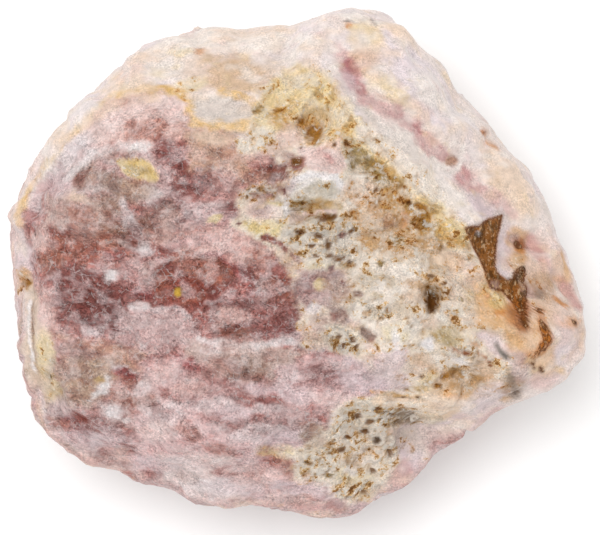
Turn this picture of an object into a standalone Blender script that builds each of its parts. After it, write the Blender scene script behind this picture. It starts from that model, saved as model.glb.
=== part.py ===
"""Raw pink calcite: one broken lump, lying on its flattest break with its sugary pink face up.

Metres, +Z up. The origin is the middle of the outline, on the surface that the stone lies on. Seen from
above, +X runs to the stone's blunt tip and +Y to its smooth outer skin. Lengths below are in millimetres.

The lump is the rounded meeting of a few flat breaks. Its outline from above is then drawn out to the
measured one, and the forms that are seen from a step away are raised or sunk along the surface normal:
the ledge round the pink face, the groove and pocket in the skin, the porous waste, the knobs and hollows.
"""

import bmesh
import bpy
import numpy as np

MM = 0.001

# Driving dimensions
HEART_HEIGHT = 15.0  # from the resting face up to the point that the breaks are measured from
EDGE_CRISPNESS = 22.0  # how sharply two breaks meet: higher is sharper
CHIPS = 90  # places where the walls and edges may be chipped
CHIP_DEPTH = (0.2, 1.1)  # least and most that a chip takes off
CHIP_TILT = 0.13  # how far a chip leans from the surface round it, in radians
CHIP_RISE = 0.8  # chips stay off the faces that look up or down more than this
CHIP_SEED = 4  # which of the possible scatters of chips
CUTS = 28  # mesh squares along each side of the starting cube
PEBBLE = (31.0, 28.0, 18.5)  # half axes of the pebble that spreads the mesh points over the lump
SMOOTH_ANGLE = 0.7  # edges that turn by more than this, in radians, are shaded sharp
DRAWN_RIM = (0.5, 0.95)  # shares of the way out over which the outline comes to be followed
WALL_WANDER = (6.0, 0.15)  # wave length of the walls' own line, and how far it strays in radians
WALL_START = (1, 9)  # distances above or below the heart over which the walls stray from the outline
MOUND_EDGE = (0.35, 1.35)  # shares of a mound's half axes over which it fades
WASTE_EDGE = (-1, 1.5)  # depths inside the waste over which its lumps rise
UPPER_RISE = (0.15, 0.5)  # how far up a surface faces where the upper side's forms come in

# Each break: the compass angle that it faces, how far it faces up, and its distance from the heart.
BREAKS = {
    "pink_face": (215, 82, 15.6),
    "waste_face": (340, 80, 16.9),
    "skin_east": (37, 47, 23.3),
    "skin_tip": (355, 40, 26.6),
    "skin_north": (92, 50, 23.3),
    "skin_north_west": (133, 50, 25.3),
    "skin_west": (170, 34, 30.0),
    "wall_west": (184, 4, 32.0),
    "corner_south_west": (226, 36, 30.0),
    "wall_south_west": (226, 0, 31.6),
    "shoulder_south": (262, 42, 24.4),
    "hollow_side": (308, 42, 23.6),
    "wall_south": (266, 2, 28.0),
    "wall_south_east": (318, -4, 27.4),
    "wall_tip": (342, 0, 33.2),
    "wall_east": (36, -2, 27.4),
    "wall_north": (80, -4, 29.0),
    "wall_north_west": (135, 0, 31.2),
    "under_north": (65, -42, 22.5),
    "under_north_west": (145, -35, 24.5),
    "under_west": (200, -44, 24.0),
    "under_south": (255, -38, 23.0),
    "under_south_east": (305, -46, 21.0),
    "under_tip": (0, -36, 26.0),
    "resting_face": (0, -90, 15.6),
}

# The outline from above, from the tip round by the skin, as (x, y).
OUTLINE = [
    (33.1, -7.8), (32.9, -4.3), (31.6, -0.5), (30.0, 3.4), (28.9, 6.6), (27.4, 9.7), (26.2, 11.3),
    (24.2, 13.2), (22.2, 15.9), (18.7, 19.6), (17.1, 22.6), (14.4, 24.7), (12.3, 27.0), (10.1, 28.7),
    (6.9, 29.3), (3.5, 28.5), (0.3, 27.3), (-3.8, 27.0), (-6.3, 26.7), (-9.3, 27.1), (-12.1, 26.4),
    (-16.1, 25.5), (-18.3, 24.2), (-21.3, 21.2), (-24.3, 18.9), (-27.0, 15.6), (-29.8, 12.0),
    (-31.6, 8.1), (-32.5, 5.0), (-32.7, 3.0), (-32.4, 0.4), (-32.2, -3.2), (-31.7, -7.8),
    (-31.1, -12.9), (-29.6, -18.3), (-26.8, -21.2), (-23.3, -23.3), (-20.1, -24.0), (-17.5, -25.5),
    (-14.1, -26.0), (-11.5, -27.7), (-8.6, -28.2), (-5.2, -27.9), (-0.6, -28.5), (3.8, -29.4),
    (6.6, -29.0), (9.3, -27.2), (13.8, -24.9), (16.2, -22.0), (20.7, -18.9), (23.2, -17.0),
    (27.0, -15.6), (30.8, -13.9), (31.9, -12.4), (32.9, -10.6),
]

# Areas of the upper side with an edge round them: (outline, height, width of the edge)
STEPS = {
    "broken_face": ([
        (-31.6, 4.9), (-30.1, 8.1), (-27.9, 10.4), (-24.7, 13.9), (-21.5, 18.2), (-15.0, 19.8),
        (-13.2, 18.1), (-11.8, 16.2), (-5.2, 14.4), (-3.8, 18.7), (0.6, 23.1), (2.6, 23.1),
        (7.2, 15.2), (9.9, 13.4), (15.0, 7.2), (19.3, 3.4), (22.4, -3.7), (27.0, -9.5), (30.5, -18.1),
        (12.1, -34.2), (-22.4, -33.0), (-30.5, -22.7), (-30.6, -15.8), (-30.8, -4.3),
    ], -0.9, 1.0),
    "porous_waste": ([
        (-3.8, 17.5), (1.2, 22.4), (6.3, 15.2), (11.5, 9.7), (19.2, 2.6), (22.4, -4.3), (23.6, -7.8),
        (20.1, -15.2), (10.9, -15.8), (5.8, -11.2), (0.6, -3.2), (-0.6, 1.4), (-5.8, 7.2),
    ], -0.5, 2.5),
    "rust_pocket": ([
        (19.6, 3.9), (23.8, 5.3), (22.4, -1.4), (24.2, -2.4), (26.1, -0.6), (26.3, -7.2), (25.2, -7.2),
        (21.3, 0.1),
    ], -0.8, 0.8),
    "white_flake": ([
        (-28.5, 1.4), (-25.3, 3.5), (-20.1, 2.6), (-17.0, 2.0), (-17.0, 6.6), (-19.0, 11.5), (-27.0, 10.0),
    ], 0.5, 0.7),
    "flat_crystal": ([(-13.2, 0.3), (-9.0, 1.0), (-7.4, -1.6), (-8.0, -3.4), (-12.0, -2.4)], -0.5, 0.6),
}

# Ridges and grooves of the upper side: (route, half width, height)
LINES = {
    "white_shoulder": (
        [(1.7, 25.0), (4.0, 21.6), (6.9, 17.5), (9.8, 15.2), (12.7, 11.8), (15.5, 8.9), (18.4, 5.5)], 2.2, 0.9,
    ),
    "mauve_groove": ([
        (2.6, 25.6), (5.8, 22.7), (6.6, 20.4), (9.2, 18.1), (13.2, 15.8), (17.2, 11.2), (20.1, 9.5),
        (24.7, 4.3), (29.3, -1.4), (31.6, -3.2),
    ], 1.5, -1.1),
    "white_vein": ([(-9.8, -10.1), (-5.2, -9.5), (4.0, -9.5)], 1.3, 0.4),
    "lower_ledge": ([(10.3, -15.8), (15.5, -15.6), (20.1, -15.8), (23.6, -14.1)], 1.5, 1.1),
}

# Knobs and hollows of the upper side: (middle, half axes, turn in degrees, height)
MOUNDS = {
    "white_knob": ((2.3, 8.6), (3.9, 2.4), 10, 1.4),
    "ochre_hollow": ((2.0, 15.7), (1.9, 2.3), 0, -1.8),
    "knob_hollow": ((1.5, 6.0), (2.2, 1.1), 0, -1.2),
    "waste_knob": ((14.0, -3.0), (4.4, 3.2), 40, 0.7),
    "waste_hollow": ((5.4, 1.4), (2.2, 3.8), 0, -0.8),
    "deep_hole": ((15.5, -4.0), (1.2, 1.7), 0, -1.8),
    "clay_hollow": ((12.4, -17.9), (2.4, 1.4), 0, -1.3),
    "side_hollow": ((16.0, -21.4), (4.6, 2.8), 30, -1.2),
    "low_pores": ((7.0, -21.0), (3.0, 4.6), 0, -0.8),
    "skin_scoop": ((-7.5, 17.2), (5.4, 1.9), 0, -1.0),
    "skin_dimple": ((-6.0, 22.0), (5.4, 2.0), 0, -0.5),
    "dark_hollow": ((-24.2, -4.9), (3.6, 3.2), 0, -0.7),
    "mauve_hollow": ((-4.6, -6.0), (5.2, 1.9), -8, -0.6),
    "lower_lobe": ((-8.6, -19.0), (11.0, 3.4), -6, 0.7),
    "crimson_step": ((-9.0, -14.0), (11.0, 1.6), -4, -0.5),
}

# The stone's own unevenness: wave length and height of each kind
SWELLS = (14.0, 0.9)
LUMPS = (5.0, 0.4)
FACETS = (6.0, 0.16)  # width of a cleavage facet, and how steeply it tilts
FACET_CRISPNESS = 14.0  # how sharply two facets meet: higher is sharper
WASTE_LUMPS = (3.6, 0.9)
LAYERS = (1.0, 0.6, 0.8)  # how the layers shorten the unevenness along x, y and z

CELL_CORNERS = np.array([(i, j, k) for i in (0, 1) for j in (0, 1) for k in (0, 1)])
CELL_NEIGHBOURS = np.array([(i, j, k) for i in (-1, 0, 1) for j in (-1, 0, 1) for k in (-1, 0, 1)])
HASH_PRIMES = np.array([73856093, 19349663, 83492791], dtype=np.uint32)
HASH_MIX = np.uint32(1274126177)
HASH_TOP = 2.0**32
NOISE_GAIN = 1.8  # brings the noise to about -1 to 1
LEAST_WEIGHT = 1e-9  # keeps the facets' weights above zero


def unit(azimuth, rise):
    """The direction that faces a compass angle and rises above the horizon, both in degrees."""
    a, r = np.radians(azimuth), np.radians(rise)
    return np.array([np.cos(a) * np.cos(r), np.sin(a) * np.cos(r), np.sin(r)])


def ramp(value, start, end):
    """A smooth rise from 0 at start to 1 at end."""
    t = np.clip((value - start) / (end - start), 0, 1)
    return t * t * (3 - 2 * t)


def scatter(cells, salt):
    """Three repeatable numbers from -1 to 1 for each whole-numbered cell."""
    key = (cells.astype(np.int64).astype(np.uint32) * HASH_PRIMES).sum(axis=-1, dtype=np.uint32)
    numbers = []
    for turn in range(3):
        mixed = (key + np.uint32(salt * 3 + turn + 1)) * HASH_MIX
        mixed = (mixed ^ (mixed >> np.uint32(15))) * HASH_MIX
        numbers.append((mixed ^ (mixed >> np.uint32(13))) / HASH_TOP * 2 - 1)
    return np.stack(numbers, axis=-1)


def noise(points, size, salt):
    """Smooth unevenness of about -1 to 1, whose swells are as wide as size."""
    scaled = points / size
    cells = np.floor(scaled)
    inside = scaled - cells
    fade = inside**3 * (inside * (inside * 6 - 15) + 10)
    total = np.zeros(len(points))
    for corner in CELL_CORNERS:
        weight = np.where(corner == 1, fade, 1 - fade).prod(axis=1)
        total += weight * ((inside - corner) * scatter(cells + corner, salt)).sum(axis=1)
    return total * NOISE_GAIN


def facets(points, size, tilt, salt):
    """Height of small facets, each a tilted plane round a scattered middle that gives way to the next."""
    cells = np.floor(points / size)
    total = np.zeros(len(points))
    weights = np.full(len(points), LEAST_WEIGHT)
    for step in CELL_NEIGHBOURS:
        middles = (cells + step + 0.5 + 0.5 * scatter(cells + step, salt)) * size
        offset = points - middles
        weight = np.exp(-FACET_CRISPNESS * (offset**2).sum(axis=1) / size**2)
        total += weight * (offset * scatter(cells + step, salt + 1)).sum(axis=1) * tilt
        weights += weight
    return total / weights


def line_distance(plan, route, closed=False):
    """Distance from each plan point to a line of straight stretches."""
    ends = route[1:] + route[:1] if closed else route[1:]
    nearest = np.full(len(plan), np.inf)
    for start, end in zip(np.array(route), np.array(ends)):
        along = end - start
        share = np.clip(((plan - start) @ along) / (along @ along), 0, 1)
        nearest = np.minimum(nearest, np.linalg.norm(plan - start - share[:, None] * along, axis=1))
    return nearest


def depth_inside(plan, outline):
    """Distance in from the edge of a plan outline, negative outside it."""
    inside = np.zeros(len(plan), dtype=bool)
    for (x0, y0), (x1, y1) in zip(outline, outline[1:] + outline[:1]):
        crosses = (y0 > plan[:, 1]) != (y1 > plan[:, 1])
        if y0 != y1:
            reach = x0 + (plan[:, 1] - y0) * (x1 - x0) / (y1 - y0)
            inside ^= crosses & (plan[:, 0] < reach)
    return np.where(inside, 1, -1) * line_distance(plan, outline, closed=True)


def ellipse_distance(plan, middle, axes, turn):
    """Distance from the middle of a turned ellipse, 1 on its edge."""
    a = np.radians(turn)
    offset = plan - middle
    along = offset @ (np.cos(a), np.sin(a)) / axes[0]
    across = offset @ (-np.sin(a), np.cos(a)) / axes[1]
    return np.hypot(along, across)


def meeting(directions, normals, reaches):
    """The rounded meeting of flat breaks: points and surface normals, round the heart."""
    nearness = np.maximum(directions @ normals.T, 0) / reaches
    reach = (nearness**EDGE_CRISPNESS).sum(axis=1) ** (-1 / EDGE_CRISPNESS)
    steepest = (nearness ** (EDGE_CRISPNESS - 1) / reaches) @ normals
    return directions * reach[:, None], steepest / np.linalg.norm(steepest, axis=1)[:, None]


def chipped_breaks():
    """Normals and distances of the main breaks and of the chips off the walls and edges between them."""
    normals = np.array([unit(azimuth, rise) for azimuth, rise, _ in BREAKS.values()])
    reaches = np.array([reach for _, _, reach in BREAKS.values()])
    turns = np.arange(CHIPS) * 180 * (3 - 5**0.5)
    rises = np.degrees(np.arcsin(1 - (2 * np.arange(CHIPS) + 1) / CHIPS))
    places = np.array([unit(turn, rise) for turn, rise in zip(turns, rises)])
    points, leans = meeting(places, normals, reaches)
    chance = np.random.default_rng(CHIP_SEED)
    leans = leans + chance.normal(0, CHIP_TILT, leans.shape)
    leans /= np.linalg.norm(leans, axis=1)[:, None]
    depths = chance.uniform(*CHIP_DEPTH, CHIPS)
    kept = np.abs(leans[:, 2]) < CHIP_RISE
    chip_reaches = (points * leans).sum(axis=1) - depths
    return np.vstack([normals, leans[kept]]), np.append(reaches, chip_reaches[kept])


NORMALS, REACHES = chipped_breaks()


def lump(directions):
    """The chipped lump: points and surface normals, round the heart."""
    return meeting(directions, NORMALS, REACHES)


def unevenness(points):
    """Height of the swells, lumps and cleavage facets that cover the whole stone."""
    layered = points / LAYERS
    return (
        noise(points, SWELLS[0], 1) * SWELLS[1]
        + noise(layered, LUMPS[0], 2) * LUMPS[1]
        + facets(layered, FACETS[0], FACETS[1], 3)
    )


def upper_forms(points, normals):
    """Height of the named forms on the upper side, which fade out down the walls."""
    plan = points[:, :2]
    height = np.zeros(len(points))
    for outline, rise, edge in STEPS.values():
        height += rise * ramp(depth_inside(plan, outline), -edge / 2, edge / 2)
    for route, half_width, rise in LINES.values():
        height += rise * np.exp(-((line_distance(plan, route) / half_width) ** 2))
    for middle, axes, turn, rise in MOUNDS.values():
        height += rise * (1 - ramp(ellipse_distance(plan, middle, axes, turn), *MOUND_EDGE))
    in_waste = ramp(depth_inside(plan, STEPS["porous_waste"][0]), *WASTE_EDGE)
    height += in_waste * noise(points, WASTE_LUMPS[0], 5) * WASTE_LUMPS[1]
    return height * ramp(normals[:, 2], *UPPER_RISE)


def widest(azimuths):
    """How far the uneven lump reaches sideways at each azimuth."""
    rises = np.radians(np.arange(-40, 51, 3))
    a, r = (grid.ravel() for grid in np.meshgrid(azimuths, rises, indexing="ij"))
    directions = np.stack([np.cos(a) * np.cos(r), np.sin(a) * np.cos(r), np.sin(r)], axis=1)
    points, normals = lump(directions)
    points += normals * unevenness(points)[:, None]
    return np.hypot(points[:, 0], points[:, 1]).reshape(len(azimuths), -1).max(axis=1)


def draw_out(points):
    """Stretch the lump sideways until its widest line follows the outline."""
    azimuths = np.radians(np.arange(-180, 181, 2))
    reach = widest(azimuths)
    corners = np.array(OUTLINE)
    corner_azimuths = np.arctan2(corners[:, 1], corners[:, 0])
    order = np.argsort(corner_azimuths)
    outline = np.interp(azimuths, corner_azimuths[order], np.hypot(*corners[order].T), period=2 * np.pi)
    stretch = outline / reach
    wander = WALL_WANDER[1] * noise(points, WALL_WANDER[0], 7) * ramp(np.abs(points[:, 2]), *WALL_START)
    here = np.arctan2(points[:, 1], points[:, 0]) + wander
    near_rim = np.hypot(points[:, 0], points[:, 1]) / np.interp(here, azimuths, reach, period=2 * np.pi)
    factor = 1 + (np.interp(here, azimuths, stretch, period=2 * np.pi) - 1) * ramp(near_rim, *DRAWN_RIM)
    drawn = points.copy()
    drawn[:, :2] *= factor[:, None]
    return drawn


def stone_points(directions):
    """The finished surface in each direction from the heart, above the resting face."""
    base, normals = lump(directions)
    drawn = draw_out(base)
    height = unevenness(base) + upper_forms(drawn, normals)
    points = drawn + normals * height[:, None]
    points[:, 2] = np.maximum(points[:, 2] + HEART_HEIGHT, 0)
    return points


def calcite():
    """Pale rose calcite, slightly glossy."""
    material = bpy.data.materials.new("calcite")
    material.use_nodes = True
    shader = material.node_tree.nodes["Principled BSDF"]
    shader.inputs["Base Color"].default_value = (0.68, 0.47, 0.43, 1)
    shader.inputs["Roughness"].default_value = 0.5
    shader.inputs["Metallic"].default_value = 0
    return material


def stone():
    """The one piece: a cube's even grid of points, spread over a pebble and moved out to the surface."""
    grid = bmesh.new()
    bmesh.ops.create_cube(grid, size=2)
    bmesh.ops.subdivide_edges(grid, edges=grid.edges[:], cuts=CUTS - 1, use_grid_fill=True)
    cube = np.array([vertex.co for vertex in grid.verts])
    pebble = cube / np.linalg.norm(cube, axis=1)[:, None] * PEBBLE
    directions = pebble / np.linalg.norm(pebble, axis=1)[:, None]
    for vertex, point in zip(grid.verts, stone_points(directions) * MM):
        vertex.co = point
    mesh = bpy.data.meshes.new("stone")
    grid.to_mesh(mesh)
    grid.free()
    mesh.shade_smooth()
    mesh.set_sharp_from_angle(angle=SMOOTH_ANGLE)
    mesh.materials.append(calcite())
    piece = bpy.data.objects.new("stone", mesh)
    collection = bpy.data.collections.new("raw_pink_calcite")
    bpy.context.scene.collection.children.link(collection)
    collection.objects.link(piece)


def main():
    for old in list(bpy.data.objects):
        bpy.data.objects.remove(old)
    stone()


if __name__ == "__main__":
    main()
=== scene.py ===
"""Raw pink calcite: the finished look of one broken lump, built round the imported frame.

The stone lies on its flattest break with its sugary rose face up. Seen from above, +X runs to its blunt tip
and +Y to its smooth pale skin. Lengths in the classes below are in millimetres, and MM brings them to metres.
"""

import logging
import math
from dataclasses import dataclass, replace
from enum import Enum, IntEnum

import bpy
import numpy as np
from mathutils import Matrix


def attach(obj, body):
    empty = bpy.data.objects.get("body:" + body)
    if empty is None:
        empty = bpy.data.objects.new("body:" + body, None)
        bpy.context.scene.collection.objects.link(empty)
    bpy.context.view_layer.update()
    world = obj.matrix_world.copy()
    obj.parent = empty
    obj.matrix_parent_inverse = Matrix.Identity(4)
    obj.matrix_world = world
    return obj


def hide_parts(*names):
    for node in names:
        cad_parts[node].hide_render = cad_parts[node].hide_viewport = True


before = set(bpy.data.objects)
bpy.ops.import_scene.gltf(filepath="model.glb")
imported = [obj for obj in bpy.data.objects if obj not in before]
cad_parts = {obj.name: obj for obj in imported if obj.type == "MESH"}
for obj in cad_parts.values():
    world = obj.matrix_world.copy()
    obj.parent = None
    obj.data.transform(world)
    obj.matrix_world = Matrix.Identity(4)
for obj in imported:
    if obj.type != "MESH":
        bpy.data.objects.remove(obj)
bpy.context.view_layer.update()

LOG = logging.getLogger("calcite")
MM = 0.001
STUDIO_GAIN = 1.28  # how much brighter than its own colour a level surface shows under the studio light

Array = np.ndarray
Spot = tuple[float, float]
Triple = tuple[float, float, float]
Route = tuple[Spot, ...]
Socket = bpy.types.NodeSocket

SHARES = ("crystal", "porous", "rust")  # the mesh attributes that hold the last three columns of the coat
CRYSTAL, POROUS, RUST = 3, 4, 5  # those columns; the first three are red, green and blue

CELL_CORNERS = np.array([(i, j, k) for i in (0, 1) for j in (0, 1) for k in (0, 1)])
CELL_NEIGHBOURS = np.array([(i, j, k) for i in (-1, 0, 1) for j in (-1, 0, 1) for k in (-1, 0, 1)])
HASH_PRIMES = np.array([73856093, 19349663, 83492791], dtype=np.uint32)
HASH_MIX = np.uint32(1274126177)
HASH_TOP = 2.0**32
NOISE_GAIN = 1.8  # brings the noise to about -1 to 1
OCTAVE_GAIN = 1.3  # brings the sum of several octaves back to about -1 to 1
LEAST_WEIGHT = 1e-9


class Salt(IntEnum):
    """Which of many unlike patterns a noise is. One with several parts counts on from its number."""

    SWELLS = 1
    LUMPS = 2
    CLEAVAGE = 3
    WASTE_LUMPS = 5
    OUTLINE_WANDER = 7
    BROKEN_SIDE = 63
    LAYERS = 64
    WARPS = 65
    FRAYS = 71
    GRAINS = 91
    TOP_EDGE = 93
    BASINS = 101
    BASIN_FIELDS = 109
    HOLES = 111
    BASIN_WARP = 113
    CRYSTAL_FACETS = 121
    LEDGES = 127
    CRYSTAL_GRAINS = 129
    WEB = 131
    SKIN_LUMPS = 135
    WALL_FACETS = 139
    WALL_LEDGES = 143
    FIBRES = 145


# ---------------------------------------------------------------- arithmetic on whole arrays


def unit(azimuth: float, rise: float) -> Array:
    """The direction that faces a compass angle and rises above the horizon.

    Args:
        azimuth: compass angle in degrees, from +X towards +Y.
        rise: angle above the horizon in degrees.

    Returns:
        A vector of length 1.
    """
    a, r = math.radians(azimuth), math.radians(rise)
    return np.array([math.cos(a) * math.cos(r), math.sin(a) * math.cos(r), math.sin(r)])


def ramp(value: Array, start: float, end: float) -> Array:
    """A smooth rise, 3t^2 - 2t^3, from 0 at start to 1 at end.

    Args:
        value: the numbers to look up.
        start: where the rise begins.
        end: where it ends; an end below the start makes it a fall.

    Returns:
        Numbers from 0 to 1, shaped as value.
    """
    t = np.clip((value - start) / (end - start), 0, 1)
    return t * t * (3 - 2 * t)


def scatter(cells: Array, salt: int) -> Array:
    """Three repeatable numbers for each whole-numbered cell, by mixing the bits of its place.

    Args:
        cells: whole-numbered places, one per row.
        salt: picks one of many unlike patterns.

    Returns:
        Three numbers from -1 to 1 per row.
    """
    key = (cells.astype(np.int64).astype(np.uint32) * HASH_PRIMES).sum(axis=-1, dtype=np.uint32)
    numbers = []
    for turn in range(3):
        mixed = (key + np.uint32(salt * 3 + turn + 1)) * HASH_MIX
        mixed = (mixed ^ (mixed >> np.uint32(15))) * HASH_MIX
        numbers.append((mixed ^ (mixed >> np.uint32(13))) / HASH_TOP * 2 - 1)
    return np.stack(numbers, axis=-1)


def noise(points: Array, size: float, salt: int) -> Array:
    """Smooth unevenness: slopes scattered on a lattice and blended by 6t^5 - 15t^4 + 10t^3.

    Args:
        points: places in millimetres, one per row.
        size: width of a swell in millimetres.
        salt: picks one of many unlike patterns.

    Returns:
        One number of about -1 to 1 per row.
    """
    scaled = points / size
    cells = np.floor(scaled)
    inside = scaled - cells
    fade = inside**3 * (inside * (inside * 6 - 15) + 10)
    total = np.zeros(len(points))
    for corner in CELL_CORNERS:
        weight = np.where(corner == 1, fade, 1 - fade).prod(axis=1)
        total += weight * ((inside - corner) * scatter(cells + corner, salt)).sum(axis=1)
    return total * NOISE_GAIN


def rough_noise(points: Array, size: float, salt: int, octaves: int = 3, keep: float = 0.6) -> Array:
    """Noise with finer noise on it: each octave is half as wide as the last and keep times as high.

    Args:
        points: places in millimetres, one per row.
        size: width of the widest swells in millimetres.
        salt: picks one of many unlike patterns.
        octaves: how many noises are added.
        keep: height of each octave as a share of the last.

    Returns:
        One number of about -1 to 1 per row.
    """
    total = sum(noise(points, size / 2**n, salt + 17 * n) * keep**n for n in range(octaves))
    return total / sum(keep**n for n in range(octaves)) * OCTAVE_GAIN


def facets(points: Array, size: float, tilt: float, crispness: float, salt: int) -> Array:
    """Small facets: tilted planes round scattered middles, each weighted by exp(-crispness d^2 / size^2).

    Args:
        points: places in millimetres, one per row.
        size: width of a facet in millimetres.
        tilt: how steeply the facets tilt.
        crispness: how sharply two facets meet.
        salt: picks one of many unlike patterns.

    Returns:
        A height in millimetres per row.
    """
    cells = np.floor(points / size)
    total = np.zeros(len(points))
    weights = np.full(len(points), LEAST_WEIGHT)
    for step in CELL_NEIGHBOURS:
        middles = (cells + step + 0.5 + 0.5 * scatter(cells + step, salt)) * size
        offset = points - middles
        weight = np.exp(-crispness * (offset**2).sum(axis=1) / size**2)
        total += weight * (offset * scatter(cells + step, salt + 1)).sum(axis=1) * tilt
        weights += weight
    return total / weights


def line_distance(plan: Array, route: Route, closed: bool = False) -> Array:
    """Distance from each plan point to the nearest straight stretch of a route.

    Args:
        plan: x and y in millimetres, one row per point.
        route: the corners of the line.
        closed: whether the last corner joins the first.

    Returns:
        A distance in millimetres per row.
    """
    ends = route[1:] + route[:1] if closed else route[1:]
    nearest = np.full(len(plan), np.inf)
    for start, end in zip(np.array(route), np.array(ends)):
        along = end - start
        share = np.clip(((plan - start) @ along) / (along @ along), 0, 1)
        nearest = np.minimum(nearest, np.linalg.norm(plan - start - share[:, None] * along, axis=1))
    return nearest


def depth_inside(plan: Array, outline: Route) -> Array:
    """Distance in from the edge of a plan outline: inside is where a ray crosses an odd number of sides.

    Args:
        plan: x and y in millimetres, one row per point.
        outline: the corners of the closed outline.

    Returns:
        A distance in millimetres per row, negative outside.
    """
    inside = np.zeros(len(plan), dtype=bool)
    for (x0, y0), (x1, y1) in zip(outline, outline[1:] + outline[:1]):
        crosses = (y0 > plan[:, 1]) != (y1 > plan[:, 1])
        if y0 != y1:
            reach = x0 + (plan[:, 1] - y0) * (x1 - x0) / (y1 - y0)
            inside ^= crosses & (plan[:, 0] < reach)
    return np.where(inside, 1, -1) * line_distance(plan, outline, closed=True)


def ellipse_distance(plan: Array, middle: Spot, axes: Spot, turn: float) -> Array:
    """Distance from the middle of a turned ellipse, as a share of its half axes.

    Args:
        plan: x and y in millimetres, one row per point.
        middle: the ellipse's middle.
        axes: its half axes.
        turn: the angle of the first axis from +X, in degrees.

    Returns:
        A number per row, 1 on the ellipse.
    """
    a = math.radians(turn)
    offset = plan - np.array(middle)
    along = offset @ np.array([math.cos(a), math.sin(a)]) / axes[0]
    across = offset @ np.array([-math.sin(a), math.cos(a)]) / axes[1]
    return np.hypot(along, across)


# ---------------------------------------------------------------- the lump


@dataclass(frozen=True)
class Break:
    """One flat break: where it faces, in degrees, and its distance from the stone's heart."""

    azimuth: float
    rise: float
    reach: float


@dataclass(frozen=True)
class Step:
    """An area of the upper side with an edge round it."""

    outline: Route
    height: float
    edge: float


@dataclass(frozen=True)
class Ridge:
    """A ridge or groove of the upper side."""

    route: Route
    half_width: float
    height: float


@dataclass(frozen=True)
class Mound:
    """A knob or hollow of the upper side."""

    middle: Spot
    axes: Spot
    turn: float
    height: float


BREAKS = {
    "pink_face": Break(215, 82, 15.6),
    "waste_face": Break(340, 80, 16.9),
    "skin_east": Break(37, 47, 23.3),
    "skin_tip": Break(355, 40, 26.6),
    "skin_north": Break(92, 50, 23.3),
    "skin_north_west": Break(133, 50, 25.3),
    "skin_west": Break(170, 34, 30.0),
    "wall_west": Break(184, 4, 32.0),
    "corner_south_west": Break(226, 36, 30.0),
    "wall_south_west": Break(226, 0, 31.6),
    "shoulder_south": Break(262, 42, 24.4),
    "hollow_side": Break(308, 42, 23.6),
    "wall_south": Break(266, 2, 28.0),
    "wall_south_east": Break(318, -4, 27.4),
    "wall_tip": Break(342, 0, 33.2),
    "wall_east": Break(36, -2, 27.4),
    "wall_north": Break(80, -4, 29.0),
    "wall_north_west": Break(135, 0, 31.2),
    "under_north": Break(65, -42, 22.5),
    "under_north_west": Break(145, -35, 24.5),
    "under_west": Break(200, -44, 24.0),
    "under_south": Break(255, -38, 23.0),
    "under_south_east": Break(305, -46, 21.0),
    "under_tip": Break(0, -36, 26.0),
    "resting_face": Break(0, -90, 15.6),
}

# The outline from above, from the tip round by the skin.
OUTLINE: Route = (
    (33.1, -7.8), (32.9, -4.3), (31.6, -0.5), (30, 3.4), (28.9, 6.6), (27.4, 9.7), (26.2, 11.3),
    (24.2, 13.2), (22.2, 15.9), (18.7, 19.6), (17.1, 22.6), (14.4, 24.7), (12.3, 27), (10.1, 28.7),
    (6.9, 29.3), (3.5, 28.5), (0.3, 27.3), (-3.8, 27), (-6.3, 26.7), (-9.3, 27.1), (-12.1, 26.4),
    (-16.1, 25.5), (-18.3, 24.2), (-21.3, 21.2), (-24.3, 18.9), (-27, 15.6), (-29.8, 12), (-31.6, 8.1),
    (-32.5, 5), (-32.7, 3), (-32.4, 0.4), (-32.2, -3.2), (-31.7, -7.8), (-31.1, -12.9), (-29.6, -18.3),
    (-26.8, -21.2), (-23.3, -23.3), (-20.1, -24), (-17.5, -25.5), (-14.1, -26), (-11.5, -27.7),
    (-8.6, -28.2), (-5.2, -27.9), (-0.6, -28.5), (3.8, -29.4), (6.6, -29), (9.3, -27.2), (13.8, -24.9),
    (16.2, -22), (20.7, -18.9), (23.2, -17), (27, -15.6), (30.8, -13.9), (31.9, -12.4), (32.9, -10.6),
)

STEPS = {
    "broken_face": Step((
        (-31.6, 4.9), (-30.1, 8.1), (-27.9, 10.4), (-24.7, 13.9), (-21.5, 18.2), (-15.0, 19.8),
        (-13.2, 18.1), (-11.8, 16.2), (-5.2, 14.4), (-3.8, 18.7), (0.6, 23.1), (2.6, 23.1),
        (7.2, 15.2), (9.9, 13.4), (15.0, 7.2), (19.3, 3.4), (22.4, -3.7), (27.0, -9.5), (30.5, -18.1),
        (12.1, -34.2), (-22.4, -33.0), (-30.5, -22.7), (-30.6, -15.8), (-30.8, -4.3),
    ), -0.9, 1.0),
    "porous_waste": Step((
        (-3.8, 17.5), (1.2, 22.4), (6.3, 15.2), (11.5, 9.7), (19.2, 2.6), (22.4, -4.3), (23.6, -7.8),
        (20.1, -15.2), (10.9, -15.8), (5.8, -11.2), (0.6, -3.2), (-0.6, 1.4), (-5.8, 7.2),
    ), -0.5, 2.5),
    "rust_pocket": Step((
        (19.6, 3.9), (23.8, 5.3), (22.4, -1.4), (24.2, -2.4), (26.1, -0.6), (26.3, -7.2), (25.2, -7.2),
        (21.3, 0.1),
    ), -0.8, 0.8),
    "white_flake": Step((
        (-28.5, 1.4), (-25.3, 3.5), (-20.1, 2.6), (-17.0, 2.0), (-17.0, 6.6), (-19.0, 11.5), (-27.0, 10.0),
    ), 0.5, 0.7),
    "flat_crystal": Step(((-13.2, 0.3), (-9.0, 1.0), (-7.4, -1.6), (-8.0, -3.4), (-12.0, -2.4)), -0.5, 0.6),
}

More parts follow.
